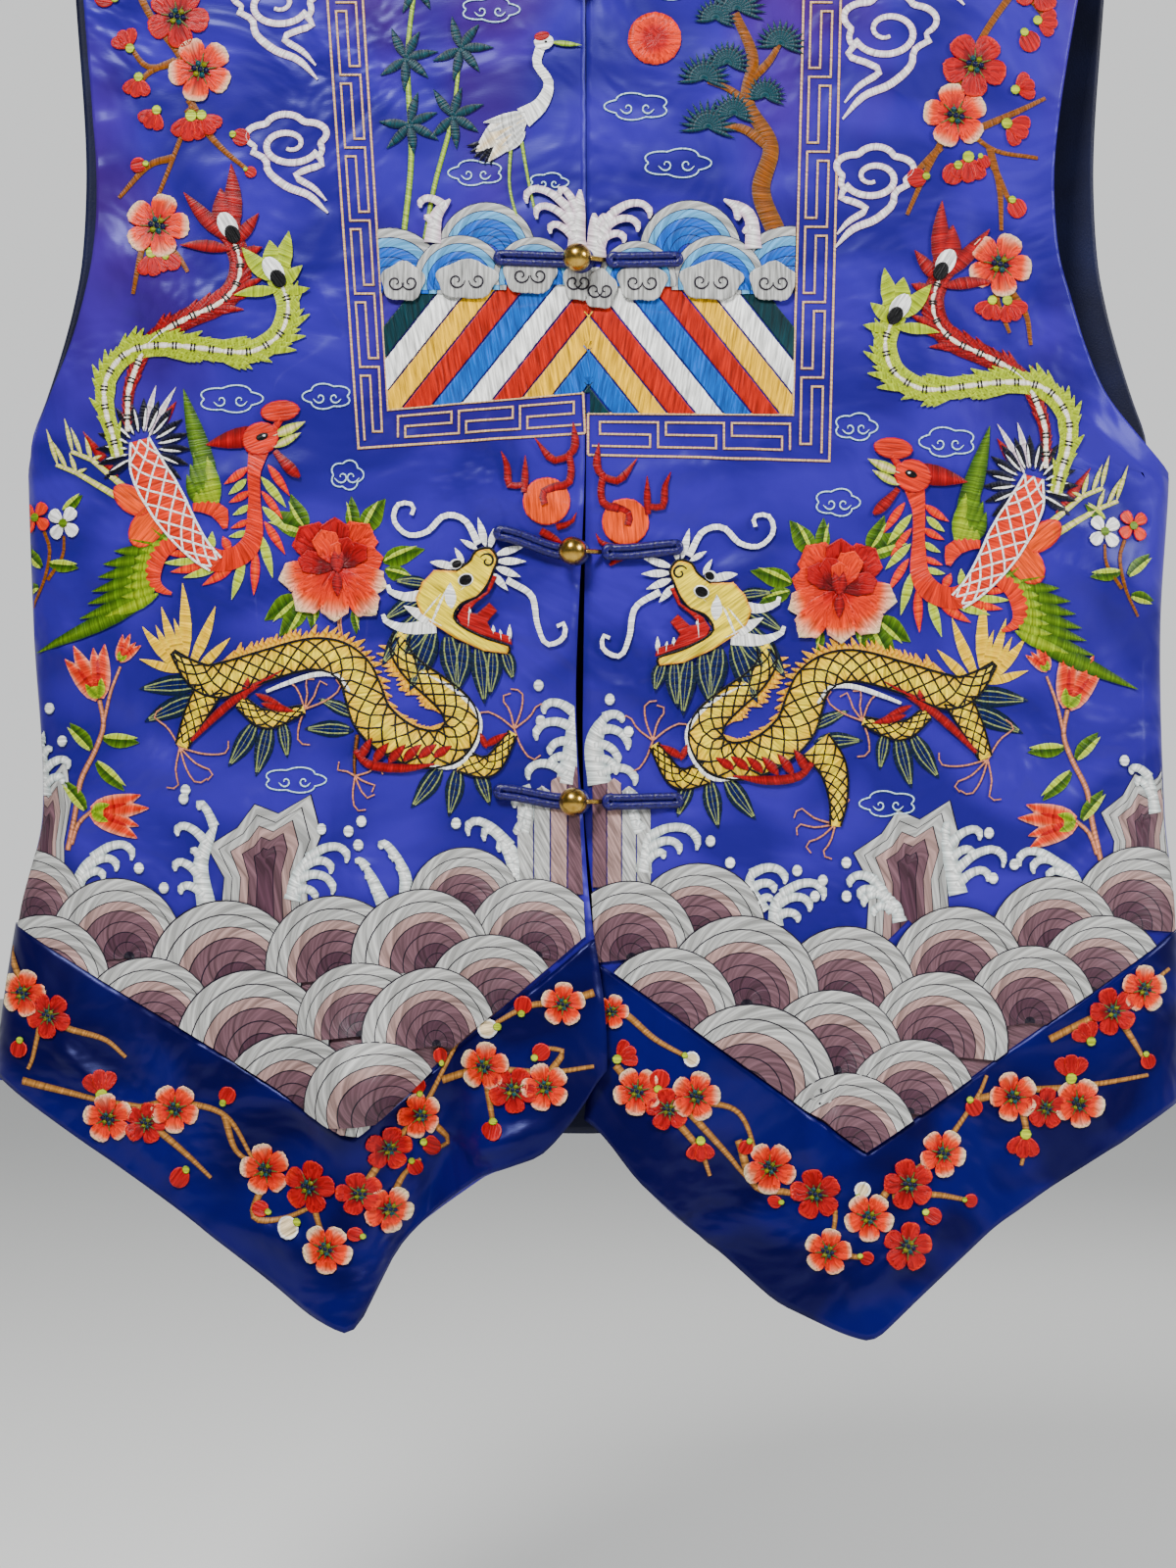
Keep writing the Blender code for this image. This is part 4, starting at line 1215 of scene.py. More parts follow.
def crest(hoop, trunk, width, tips, layer=0, finger=9.0, colours=("foam", "white")):
    """A breaking crest: a trunk of foam and a hooked finger from it to each tip, top one first."""
    stout = [width * share for share in (1.25, 1.1, 1.0, 0.9, 0.7, 0.2)]
    hoop.ribbon(trunk[::-1], stout, colours, layer, 0.35, columns=4)
    line, run = line_at(trunk)
    for k, (x, y) in enumerate(tips):
        share = (k + 0.35) / len(tips)
        start = line[int(np.interp(share * run[-1], run, np.arange(len(line))))]
        reach = np.array((x, y)) - start
        up = np.array((0.0, -np.linalg.norm(reach)))
        hook = ((0, 0), (0.42, 0.26), (0.80, 0.30), (1.02, 0.12), (1, -0.10))
        path = [start + along * reach + high * up for along, high in hook]
        thick = [finger * share for share in (1.2, 1.1, 1.0, 0.95, 0.9, 0.95, 0.3)]
        hoop.ribbon(path, thick, colours, layer + 1, 0.4, count=12)


def column(hoop, x, top, foot, width, colours, slope):
    """Standing bands of a rock, each with its own colour. slope is how far each stands below the last."""
    for k, colour in enumerate(colours):
        middle = x + width * (k + 0.5)
        high = top + abs(slope) * ((len(colours) - 1 - k) if slope > 0 else k)
        left, right = middle - width * 0.46, middle + width * 0.46
        outline = ((left, foot), (left, high + 5), (middle, high), (right, high + 5), (right, foot))
        hoop.patch(outline, (colour, colour), (0.6,), 62.0, 1, 0.35)


ROCK_BANDS = ("wave_white", "wave_white", "wave_pink", "wave_mauve", "wave_deep")
SEA = {
    "left": dict(
        scales=((25, 930, 62), (118, 966, 70), (475, 922, 58), (232, 998, 80), (345, 985, 72),
                (545, 964, 68), (432, 976, 70), (44, 1004, 70), (152, 1048, 72), (262, 1070, 82),
                (372, 1044, 64), (502, 1022, 70), (441, 1054, 69),
                (303, 1130, 78), (385, 1126, 66)),
        trims=((597, 954, 200, 232), (364, 1154, -214, 361), (597, 950, 190, -9)),
        rocks=((272, 932, 112, 122), (40, 905, 58, 132)), columns=((528, 782, 912, 17, 10), ),
        crests=(
            (((222, 838), (206, 880), (212, 925)), 16,
             ((204, 824), (182, 850), (198, 870), (180, 886), (186, 910))),
            (((318, 872), (306, 892), (300, 918)), 14, ((356, 876), (340, 888), (342, 908), (324, 916))),
            (((374, 880), (384, 900), (394, 922)), 12, ((368, 880), (378, 896), (384, 910))),
            (((404, 872), (414, 890), (416, 912)), 12, ((391, 864), (401, 874), (408, 886))),
            (((520, 858), (526, 876), (526, 905)), 14, ((479, 848), (495, 854), (510, 866))),
            (((586, 722), (584, 760), (578, 800)), 18,
             ((556, 726), (548, 752), (562, 768), (562, 782), (540, 792))),
            (((540, 800), (540, 826), (536, 850)), 12, ((526, 822), (532, 836), (528, 850))),
            (((96, 872), (84, 888), (76, 908)), 13, ((134, 874), (118, 886), (104, 896))),
            (((36, 752), (38, 780), (40, 812)), 13, ((38, 750), (46, 766), (66, 782), (60, 798))),
        ),
        drops=((46, 722), (60, 756), (188, 815), (142, 886), (168, 906), (358, 848), (371, 838), (368, 862),
               (466, 840), (550, 700), (552, 736),
               (190, 806), (330, 846)),
    ),
    "right": dict(
        scales=((712, 948, 68), (642, 966, 68), (1165, 936, 72), (1075, 962, 68), (975, 994, 70),
                (862, 1014, 70), (755, 1012, 79), (1125, 1002, 68), (1050, 1032, 68), (680, 1036, 71),
                (955, 1062, 72), (846, 1080, 72), (765, 1106, 84), (928, 1122, 64),
                (862, 1160, 68)),
        trims=((609, 979, -192, 271), (880, 1171, 217, 320), (607, 980, -220, 11)),
        rocks=((925, 938, 104, 122), (1170, 892, 84, 112)), columns=((604, 786, 905, 15, -8), ),
        crests=(
            (((618, 728), (606, 760), (612, 800)), 20,
             ((634, 736), (640, 762), (630, 777), (628, 788), (647, 798))),
            (((640, 806), (644, 828), (652, 850)), 12, ((654, 824), (650, 836), (656, 846))),
            (((660, 850), (658, 868), (656, 890)), 14, ((710, 862), (692, 868), (676, 874))),
            (((766, 886), (764, 906), (778, 930)), 13, ((799, 898), (788, 908), (784, 918))),
            (((798, 908), (790, 924), (790, 944)), 13, ((838, 914), (824, 926), (812, 938))),
            (((888, 892), (898, 908), (910, 930)), 12, ((866, 902), (876, 914))),
            (((902, 912), (912, 924), (916, 940)), 12, ((880, 922), (890, 932))),
            (((962, 846), (968, 876), (976, 912)), 16,
             ((966, 842), (998, 854), (990, 872), (1022, 880), (1006, 896))),
            (((1074, 878), (1092, 890), (1100, 908)), 12, ((1040, 880), (1054, 888), (1070, 896))),
            (((1176, 786), (1180, 806), (1184, 830)), 12, ((1158, 788), (1164, 800))),
        ),
        drops=((622, 714), (641, 747), (724, 858), (812, 888), (838, 898), (830, 914), (862, 880),
               (862, 914), (1008, 850), (1034, 882),
               (1012, 896), (744, 880), (1150, 776)),
    ),
}
for side, sea in SEA.items():
    hoop = Hoop(f"sea_{side}")
    for x, y, width, height in sea["rocks"]:
        rock(hoop, x, y, width, height, ROCK_BANDS)
    shades = ("wave_white", "wave_white", "wave_pink", "wave_mauve")
    for x, top, foot, width, slope in sea["columns"]:
        column(hoop, x, top, foot, width, shades if slope > 0 else shades[::-1], slope)
    for trunk, width, tips in sea["crests"]:
        crest(hoop, trunk, width, tips, 2)
    for x, y in sea["drops"]:
        disc(hoop, x, y, 5.2, ("foam", "white"), (0.6,), 1, 0.5, 10, tall=1.15)
    centres = sorted((x, y) for x, y, _ in sea["scales"])
    left, right = centres[0][0] - 30, centres[-1][0] + 40
    top = 958 if side == "left" else 992
    ground = ((left, top), (right, top), (right, 1180), (left, 1180))
    hoop.patch(ground, ("wave_deep", "wave_mauve"), (0.6,), 20.0, 0, 0.2)
    levels = []
    for k, (x, y, radius) in enumerate(sea["scales"]):
        earlier = zip(levels, sea["scales"])
        under = [level for level, (a, b, other) in earlier if math.hypot(a - x, b - y) < other + radius]
        levels.append(max(under, default=3) + 2)
        lean = (0.14 if side == "left" else -0.06) + 0.14 * math.sin(2.4 * k)
        fan(hoop, x, y, radius, SEA_BANDS, "wave_line", levels[-1], -196, 16, 26, 0.08, 0.22, lean,
            SEA_WIDTHS)
    for x, y, out_x, out_y in sea["trims"]:
        hoop.trim(x, y, out_x, out_y)
    keep(hoop, side)

# %% [markdown]
# ## A pair of phoenixes
# The two birds face each other, so each is drawn once on the left and turned over for the right. The
# long tail feathers are rows of short slanted leaves on both sides of a white quill.

# %% Feathers and scales


BARB_WIDTHS = (0.9, 1.0, 0.8, 0.5, 0.1)


def barbs(hoop, path, reach, colours, count, sides=(-1, 1), slant=38, width=0.42, layer=0, span=(0.0, 1.0),
          ragged=0.25):
    """Pointed leaves along a path. reach is their length at even stations."""
    path, run = line_at(path)
    ahead = np.gradient(path, axis=0)
    generator = random.Random(count)
    for k in range(count):
        share = span[0] + (span[1] - span[0]) * (k + 0.5) / count
        index = int(np.interp(share * run[-1], run, np.arange(len(path))))
        size = float(np.interp(share, np.linspace(0, 1, len(reach)), reach))
        angle = math.degrees(math.atan2(ahead[index, 1], ahead[index, 0]))
        for way in sides:
            length = size * (1 + generator.uniform(-ragged, ragged))
            turn = angle + way * slant
            leaf(hoop, *path[index], length, length * width, turn, colours, 0, layer, 0.3, BARB_WIDTHS, 5)


def lattice(hoop, path, widths, pitch, thick, colours, layer):
    """Crossed lines over a body, bent along its path."""
    path, run = line_at(path)
    out = sideways(path)
    wide = np.interp(run / run[-1], np.linspace(0, 1, len(widths)), widths) / 2 * 0.96

    def at(share, side):
        return [np.interp(share, run, path[:, k] + out[:, k] * wide * side) for k in (0, 1)]

    start = -pitch
    while start < run[-1]:
        for way in (-1, 1):
            ends = [(start + pitch * (1 + side), side * way) for side in np.linspace(-1, 1, 5)]
            line = [at(share, side) for share, side in ends if 0 <= share <= run[-1]]
            if len(line) > 1:
                hoop.ribbon(line, (thick, thick), colours, layer, 0.2, count=max(len(line), 3))
        start += pitch
    for side in (-1, 1):
        edge = np.stack([path[:, k] + out[:, k] * wide * side for k in (0, 1)], axis=1)[::6]
        hoop.ribbon(edge, (thick * 1.2, thick * 1.2), colours, layer, 0.2)


def plume(hoop, path, reach, colours, count, layer):
    """A tail feather: leaves on both sides of a white quill with dark ticks."""
    wide = [r * 0.9 for r in reach]
    hoop.ribbon(path, wide, colours, layer, 0.3)
    barbs(hoop, path, reach, colours, count * 2, layer=layer + 1, slant=30, width=0.34, ragged=0.42)
    barbs(hoop, path, [r * 0.8 for r in reach], colours[::-1], count, layer=layer + 2, slant=24, width=0.26)
    hoop.ribbon(path, (5, 6, 5, 4), ("cream", "white"), layer + 3, 0.35)
    line, run = line_at(path)
    for start in np.arange(14, run[-1] - 8, 19.0):
        for shift in (0, 3.4):
            index = int(np.interp(start + shift, run, np.arange(len(line))))
            across = sideways(line)[index]
            ends = [line[index] + across * s for s in (-4, 0, 4)]
            hoop.ribbon(ends, (1.8, 1.8), BLACK, layer + 5, 0.2, count=3)


def disc_turned(hoop, x, y, across, along, angle, colours, layer, rise=0.35, widths=(0.5,)):
    """An ellipse, along its own length and across it, turned by an angle."""
    turn = np.linspace(0, 2 * np.pi, 16, endpoint=False)
    outline = turned(np.stack((along * np.cos(turn), across * np.sin(turn)), axis=1), x, y, angle)
    hoop.patch(outline, colours, widths, angle, layer, rise)


# %% Phoenixes
GREEN_TAIL = (
    (120, 466), (114, 441), (108, 421), (106, 394), (116, 372), (131, 359), (151, 353), (179, 353),
    (204, 356), (246, 361), (267, 357), (287, 342), (295, 319), (292, 301), (283, 284),
)
RED_TAIL = (
    (130, 440), (130, 421), (131, 399), (138, 377), (150, 352), (170, 337), (196, 324), (224, 311),
    (241, 293), (246, 269), (238, 244),
)
PHOENIX_BODY = ((143, 449), (152, 480), (168, 508), (184, 535), (203, 560), (222, 577))
PHOENIX_NECK = ((205, 566), (226, 573), (248, 566), (260, 548), (261, 513), (261, 484), (266, 458))
UPPER_WING = (
    (206, 516, 34, 15, -118, 2), (212, 517, 46, 16, -114, 2), (218, 516, 58, 17, -112, 2),
    (222, 515, 78, 18, -111, 3), (224, 514, 122, 22, -110, 6),
)
LOWER_WING = (
    (176, 556, 28, 12, -140, 0), (170, 558, 40, 13, -168, 0), (166, 562, 50, 14, 178, 2),
    (162, 568, 58, 15, 170, 3), (160, 576, 62, 15, 165, 4), (158, 584, 68, 15, 160, 5),
    (158, 592, 74, 15, 157, 6), (160, 600, 86, 16, 154, 8), (162, 606, 142, 18, 154, 4),
)
HACKLES = (
    (255, 478, 30, 9, 142), (253, 490, 24, 8, 136), (257, 502, 25, 8, 148), (257, 516, 21, 7, 145),
    (257, 531, 22, 7, 152), (255, 543, 21, 7, 160), (275, 476, 38, 9, 52), (268, 488, 40, 9, 48),
    (268, 502, 36, 8, 50), (269, 518, 37, 9, 42), (271, 533, 40, 9, 55), (267, 546, 46, 10, 72),
    (262, 562, 46, 10, 90), (250, 570, 44, 10, 104), (240, 578, 38, 10, 146), (226, 578, 40, 9, 160),
    (210, 577, 36, 9, 166), (204, 572, 37, 8, 173), (198, 565, 30, 8, 178), (217, 563, 20, 9, -94),
    (236, 562, 16, 10, -125),
)


def wing(hoop, rows, share, layer):
    """Long feathers, with short pale ones over their roots."""
    tufts(hoop, rows, ("green", "leaf"), layer)
    coverts = [(x, y, length * share, width * 0.8, *turn) for x, y, length, width, *turn in rows]
    tufts(hoop, coverts, ("leaf", "yellow_green"), layer + 1)


def phoenix(hoop):
    """The left phoenix, from its tail to its head, lowest layers first."""
    tufts(hoop, ((120, 486, 60, 10, -132, 4), (160, 442, 38, 10, -62, 3)), RED, 0)
    tufts(hoop, ((148, 440, 48, 7, -80, 3), (152, 446, 58, 7, -66, 5)), ("white", "pink_white"), 1)
    plume(hoop, RED_TAIL, (10, 14, 18, 22, 26, 26, 24), RED, 19, 1)
    plume(hoop, GREEN_TAIL, (14, 20, 24, 25, 25, 26, 27, 24), ("lime", "yellow_green"), 25, 4)
    red = ((236, 246, 78, 20, -84, -8), (234, 246, 68, 16, -138, 6), (240, 250, 40, 14, -52, 0),
           (236, 256, 52, 13, -165, -8), (244, 262, 26, 12, -20, 0), (232, 240, 48, 26, -98, 0))
    green = ((284, 286, 50, 18, -72, -4), (282, 288, 48, 18, -142, 6), (283, 286, 40, 24, -100, 0),
             (287, 292, 30, 14, -40, 0), (284, 298, 44, 12, -178, -6), (292, 300, 26, 10, -10, 0))
    tufts(hoop, red, RED, 5)
    tufts(hoop, green, ("lime", "yellow_green"), 8)
    for x, y, angle, layer in ((233, 231, 60, 7), (280, 277, 55, 10)):
        disc_turned(hoop, x, y, 9.5, 15, angle, WHITE, layer)
        disc_turned(hoop, x + 5, y + 9, 7.5, 10, angle, BLACK, layer + 1)
    fan_out = []
    for a in range(-215, 40, 18):
        across, down = math.cos(math.radians(a)), math.sin(math.radians(a))
        fan_out.append((146 + 16 * across, 458 + 18 * down, 34, 11, a, 0))
    tufts(hoop, fan_out, ("navy", "black"), 2)
    tufts(hoop, [(x, y, 24, 3.4, a + 6, 0) for x, y, _, _, a, _ in fan_out], WHITE, 3)
    for x, y, toes in ((76, 481, ((-108, 40), (-118, 32), (-110, 22))),
                       (92, 468, ((-104, 36), (-112, 32), (-106, 24)))):
        hoop.ribbon(((122 + (x - 76) * 0.4, 508 - (x - 76) * 0.6), (x, y)), (7, 5), LIME, 1, 0.3, count=5)
        for step, (angle, length) in enumerate(toes):
            leaf(hoop, x - 20 + 10 * step, y - 8 + 4 * step, length, 5, angle, LIME, 0, 2)
        hoop.ribbon(((x, y), (x - 22, y - 9)), (5, 4), LIME, 1, 0.3, count=4)
        leaf(hoop, x, y, 12, 4, -20, LIME, 0, 2)
    disc_turned(hoop, 134, 510, 13, 22, 38, ("orange_red", "coral", "salmon"), 3, widths=(0.8, 0.8))
    disc_turned(hoop, 152, 536, 17, 26, 130, ("pink", "salmon", "salmon"), 3, widths=(0.8, 0.8))
    wing(hoop, LOWER_WING, 0.42, 4)
    hoop.ribbon(((184, 552), (168, 560), (159, 574), (157, 590), (164, 601), (176, 606)),
                (10, 17, 18, 17, 10, 3), CORAL, 6, 0.4)
    wing(hoop, UPPER_WING, 0.4, 3)
    hoop.ribbon(((198, 518), (212, 518), (226, 524), (231, 540)), (8, 14, 17, 5), CORAL, 5, 0.4)
    for k, (x, y, length, width, angle) in enumerate(HACKLES):
        leaf(hoop, x, y, length, width, angle, ("pink", "salmon") if k % 2 == 0 else ("pale_green", "lime"),
             2, 2)
    body_widths = (20, 36, 41, 40, 33, 25, 18)
    hoop.ribbon(PHOENIX_BODY, body_widths, CORAL, 5, 0.5, columns=4)
    lattice(hoop, PHOENIX_BODY, body_widths, 20, 2.0, WHITE, 9)
    hoop.ribbon(PHOENIX_NECK, (26, 22, 22, 17, 12, 13, 22), ("orange_red", "orange_red"), 5, 0.4)
    leaf(hoop, 276, 442, 66, 22, 169, RED, 0, 6)
    disc_turned(hoop, 267, 449, 17, 19, -20, ("brick", "orange_red", "orange_red"), 6, widths=(0.8, 0.8))
    disc_turned(hoop, 287, 421, 11, 20, -6, ("brick", "orange_red", "orange_red"), 6, widths=(0.8, 0.8))
    leaf(hoop, 281, 440, 16, 9, -60, ("brick", "orange_red"), 0, 7, 0.3, (0.8, 0.8, 0.8), 3)
    tufts(hoop, ((280, 446, 36, 11, -20, -2), (280, 458, 32, 9, -24, -2)), ("yellow_green", "cream"), 7)
    leaf(hoop, 282, 462, 36, 12, 52, RED, -4, 7, 0.3, (0.5, 0.6, 0.8, 1.0, 0.9, 0.3))
    disc_turned(hoop, 269, 447, 3.6, 6.5, -20, BLACK, 8)
    disc_turned(hoop, 271, 446, 1.3, 1.8, 0, WHITE, 9)


for side, line, drop in (("left", None, 0), ("right", 598.5, 38)):
    hoop = Hoop(f"phoenix_{side}", flip=line, drop=drop)
    phoenix(hoop)
    keep(hoop, side)

# %% [markdown]
# ## A pair of dragons
# A dragon's body is one long bent strip. Crossed black lines make its scales, gold flames run along
# its spine, and the beard and the tufts at its legs are long dark leaves with pale veins.

# %% Dragons
DRAGON_BODY = (
    (177, 665), (198, 686), (222, 695), (265, 682), (311, 669), (340, 670), (362, 684), (372, 707),
    (380, 730), (400, 750), (426, 763), (454, 763), (471, 746), (468, 724), (448, 704), (423, 684),
    (409, 664), (412, 646),
)
BODY_WIDTHS = (5, 24, 37, 34, 32, 32, 34, 37, 41, 42, 40, 40, 38, 36, 30, 26, 21, 18)
DRAGON_WHISKERS = (
    ((489, 557), (474, 532), (454, 528), (437, 544), (417, 547), (403, 532), (408, 516), (423, 517),
     (421, 527)),
    ((518, 593), (543, 609), (549, 638), (558, 658), (575, 652), (576, 638), (569, 640)),
)
SKULL = (
    (425, 612), (432, 596), (444, 583), (466, 584), (480, 574), (486, 564), (500, 561), (508, 572),
    (504, 584), (498, 598), (488, 610), (472, 617), (464, 630), (472, 640), (496, 652), (520, 660),
    (519, 668), (494, 665), (465, 652), (440, 636), (430, 626),
)
MOUTH = (
    (503, 588), (497, 605), (474, 619), (467, 630), (471, 639), (490, 648), (523, 659), (521, 650),
    (503, 645), (498, 636), (508, 624), (500, 616), (488, 627), (478, 626), (486, 617), (500, 606),
    (508, 590),
)
BEARD = (
    (444, 640, 70, 24, 106, 6), (458, 645, 62, 24, 86, -6), (474, 652, 56, 22, 92, 6),
    (488, 657, 62, 22, 80, 4), (503, 662, 48, 19, 86, 6), (514, 663, 32, 16, 66, 4),
    (430, 626, 66, 20, 132, -7), (434, 610, 46, 16, 160, -8), (440, 598, 36, 13, 196, -6),
    (438, 636, 46, 20, 122, 5),
)
LEG_TUFTS = (
    (208, 698, 66, 22, 180, -5), (207, 712, 64, 22, 164, -7), (262, 736, 54, 20, 116, 5),
    (276, 736, 58, 20, 100, 4), (288, 734, 40, 15, 78, 2), (362, 746, 50, 18, 188, -5),
    (366, 732, 44, 14, 210, -4), (452, 780, 54, 20, 120, 5), (468, 782, 52, 20, 96, 4),
    (486, 782, 42, 17, 66, 3),
)


def veined(hoop, rows, layer):
    """Dark leaves with thin pale lines along them."""
    tufts(hoop, rows, ("dark_teal", "slate"), layer)
    for x, y, length, width, angle, bend in rows:
        for part in (-0.26, 0.0, 0.26):
            path = turned([(length * 0.1, part * width * 0.6), (length * 0.45, part * width + bend * 0.2),
                           (length * 0.92, part * width * 0.2 + bend * 0.85)], x, y, angle)
            hoop.ribbon(path, (1.6, 1.6), ("sage", "sage"), layer + 1, 0.2, count=5)


def claws(hoop, x, y, ends):
    """Thin hooked claws from a foot."""
    for angle, length, hook in ends:
        path = turned([(0, 0), (length * 0.55, length * 0.08), (length, 0), (length * 1.02, hook)], x, y,
                      angle)
        hoop.ribbon(path, (2.2, 2.0, 1.7), ROSY_BARK, 3, 0.25)


def limb(hoop, path, widths):
    """A scaled leg."""
    hoop.ribbon(path, widths, GILT, 3, 0.45, columns=4)
    lattice(hoop, path, widths, 13, 1.8, BLACK, 6)


def eye(hoop, x, y, across, along, shift, layer):
    """A black eye with a white rim."""
    disc_turned(hoop, x, y, across + 1.2, along + 1.4, -20, WHITE, layer)
    disc_turned(hoop, x + shift, y, across, along, -20, BLACK, layer + 1)


def dragon(hoop, scaled_leg):
    """A dragon in front of its pearl. Its middle leg is scaled on the right front and thin on the left."""
    veined(hoop, LEG_TUFTS, 0)
    veined(hoop, BEARD, 6)
    tail_fins = (
        (186, 684, 60, 12, -140, 8), (186, 682, 66, 11, -112, 4), (188, 680, 84, 13, -84, -10),
        (194, 682, 68, 12, -62, -6), (200, 686, 50, 10, -44, 0), (206, 690, 40, 9, -28, 0),
        (184, 686, 44, 9, -162, 0), (190, 682, 52, 9, -98, -5), (184, 684, 52, 9, -124, 5),
        (196, 684, 46, 9, -74, 4),
    )
    tufts(hoop, tail_fins, ("yellow", "gold"), 1)
    claws(hoop, 184, 763, ((-130, 42, 12), (92, 40, 12), (64, 40, -12), (36, 42, 10), (6, 48, -12)))
    claws(hoop, 312, 724, ((-116, 30, -9), (-88, 30, 9), (-62, 32, 9), (-30, 42, -10), (100, 34, -12)))
    claws(hoop, 525, 744, ((-150, 36, -10), (-112, 34, 10), (-78, 38, -12), (-46, 36, 10), (60, 36, -10)))
    if scaled_leg:
        claws(hoop, 340, 829, ((-25, 40, 12), (0, 38, 11), (33, 36, 11), (66, 33, 11), (-121, 28, 8)))
        limb(hoop, ((360, 748), (343, 770), (337, 802), (340, 831)), (36, 29, 20, 11))
    else:
        claws(hoop, 364, 792, ((-160, 20, 8), (-24, 26, 10), (60, 26, -8), (88, 34, -10), (24, 22, 8)))
        hoop.ribbon(((366, 750), (363, 776), (364, 796)), (5, 4, 3), ("black", "ochre"), 2)
    limb(hoop, ((216, 700), (200, 730), (186, 762)), (30, 24, 14))
    limb(hoop, ((246, 716), (272, 734), (312, 724)), (14, 20, 9))
    limb(hoop, ((470, 776), (500, 782), (524, 748)), (24, 20, 10))
    hoop.ribbon(((196, 756), (224, 728), (252, 706), (290, 684)), (4, 9, 8, 1), RED, 7, 0.35)
    tufts(hoop, ((250, 714, 24, 9, -78, 0), (262, 708, 32, 7, 24, 0), (268, 718, 36, 9, 14, 0),
                 (494, 762, 28, 8, -30, 0), (497, 764, 18, 7, -112, 0)), RED, 7)
    barbs(hoop, DRAGON_BODY, (27, 33, 31, 30, 31, 33, 34, 33, 30, 25, 20), ("amber", "gold"), 84, (-1,), 56,
          0.34, 3, (0.10, 0.97), 0.16)
    barbs(hoop, DRAGON_BODY, (31, 37, 34, 33, 34, 37, 38, 37, 33, 28, 22), ("gold", "amber"), 21, (-1,), 48,
          0.30, 2, (0.10, 0.97), 0.14)
    hoop.ribbon(DRAGON_BODY, BODY_WIDTHS, GILT, 4, 0.55, count=70, columns=4)
    lattice(hoop, DRAGON_BODY, BODY_WIDTHS, 17.0, 2.0, BLACK, 8)
    for path in (((273, 706), (293, 698), (322, 689), (345, 690), (358, 706)),
                 ((437, 782), (466, 782), (486, 759), (489, 731), (466, 706), (431, 686))):
        hoop.ribbon(path, (3, 5, 5, 3), WHITE, 6, 0.35)
    belly = [(368 + 15 * k, 776 + 3 * math.sin(k), 27 - k, 10, -62 + 5 * k, 2) for k in range(6)]
    tufts(hoop, belly, RED, 9)
    hoop.ribbon(((364, 766), (378, 780), (410, 784), (444, 780)), (6, 10, 9, 2), RED, 9)
    for path, widths in (
        (((436, 608), (414, 610), (397, 603), (397, 598)), (12, 10, 7, 4)),
        (((446, 640), (414, 642), (394, 634), (392, 628)), (14, 13, 8, 4)),
    ):
        hoop.ribbon(path, widths, WHITE, 9)
    hoop.patch(SKULL, ("amber", "gold", "straw"), (0.6, 0.7), 35.0, 9, 0.5)
    tufts(hoop, ((452, 640, 44, 13, -152, 0), (440, 640, 46, 20, -68, 2), (432, 630, 30, 14, -50, 0)),
          WHITE, 11)
    tufts(hoop, ((440, 575, 34, 8, 8, 3), (474, 576, 18, 6, -120, 0), (470, 604, 16, 6, -40, 0)), WHITE, 11)
    snout = ((496, 560, 32, 8, -104, 0), (500, 562, 22, 7, -78, 0), (488, 562, 20, 6, -150, 0),
             (506, 568, 32, 8, -18, 0), (507, 574, 30, 8, 2, 0), (506, 580, 28, 8, 22, 0),
             (503, 586, 24, 8, 48, 0))
    tufts(hoop, snout, WHITE, 9)
    hoop.patch(MOUTH, RED, (0.6,), 20.0, 11, 0.35)
    tufts(hoop, ((480, 620, 20, 5, 94, 0), (520, 656, 18, 5, -88, 0), (512, 654, 11, 4, -96, 0),
                 (504, 648, 9, 4, -90, 0)), WHITE, 12)
    hoop.ribbon(SKULL[3:17], (2.2, 2.6, 2.2), BLACK, 14, 0.2, count=44)
    curl(hoop, 498, 574, 8, -150, 1.1, 2.4, BLACK, 13)
    eye(hoop, 476, 593, 5.4, 6.8, 0, 12)
    eye(hoop, 466, 577, 4.0, 5.2, 1, 13)
    leaf(hoop, 462, 622, 26, 12, -100, WHITE, 3, 13)
    for path in DRAGON_WHISKERS:
        hoop.ribbon(path, (7, 6, 6, 5, 5, 4), WHITE, 8, 0.35)


for side, line, drop in (("left", None, 0), ("right", 595.5, 12)):
    hoop = Hoop(f"dragon_{side}", flip=line, drop=drop)
    dragon(hoop, side == "right")
    keep(hoop, side)

# %% [markdown]
# ## Peonies, sprigs and pearls
# A peony is a ring of broad petals, then smaller and darker ones towards the middle. The pearls that
# the dragons chase have red flames, and small sprigs fill the sides.

# %% Peonies, sprigs and pearls
PEONY_PETALS = (
    (-132, 54, 50, "dark"), (-52, 54, 50, "middle"), (-92, 50, 40, "dark"), (-12, 48, 38, "middle"),
    (168, 58, 40, "edge"), (22, 54, 38, "edge"), (132, 58, 42, "edge"), (50, 62, 40, "edge"),
    (92, 54, 38, "edge"), (-168, 38, 30, "dark"), (-34, 38, 30, "dark"), (-112, 40, 34, "coral"),
    (-66, 34, 28, "dark"), (-90, 27, 22, "coral"),
)
PEONY_LEAVES = (
    (318, 546, 52, 24, -150, -4), (314, 542, 40, 18, -118, 3), (372, 544, 40, 22, -62, 4),
    (360, 542, 34, 15, -84, -4), (392, 574, 44, 20, -20, 3), (394, 582, 34, 16, 18, 3),
    (306, 610, 42, 22, 150, -3), (312, 614, 44, 22, 122, 3), (322, 616, 26, 13, 98, 0),
    (362, 622, 26, 9, 84, 0),
)
PEONY_COLOURS = {
    "edge": ("brick", "orange_red", "orange_red", "coral", "pale_pink", "cream"),
    "coral": ("brick", "orange_red", "coral", "coral"),
    "middle": ("dark_red", "brick", "orange_red", "orange_red", "coral"),
    "dark": ("dark_red", "dark_red", "brick", "brick"),
}


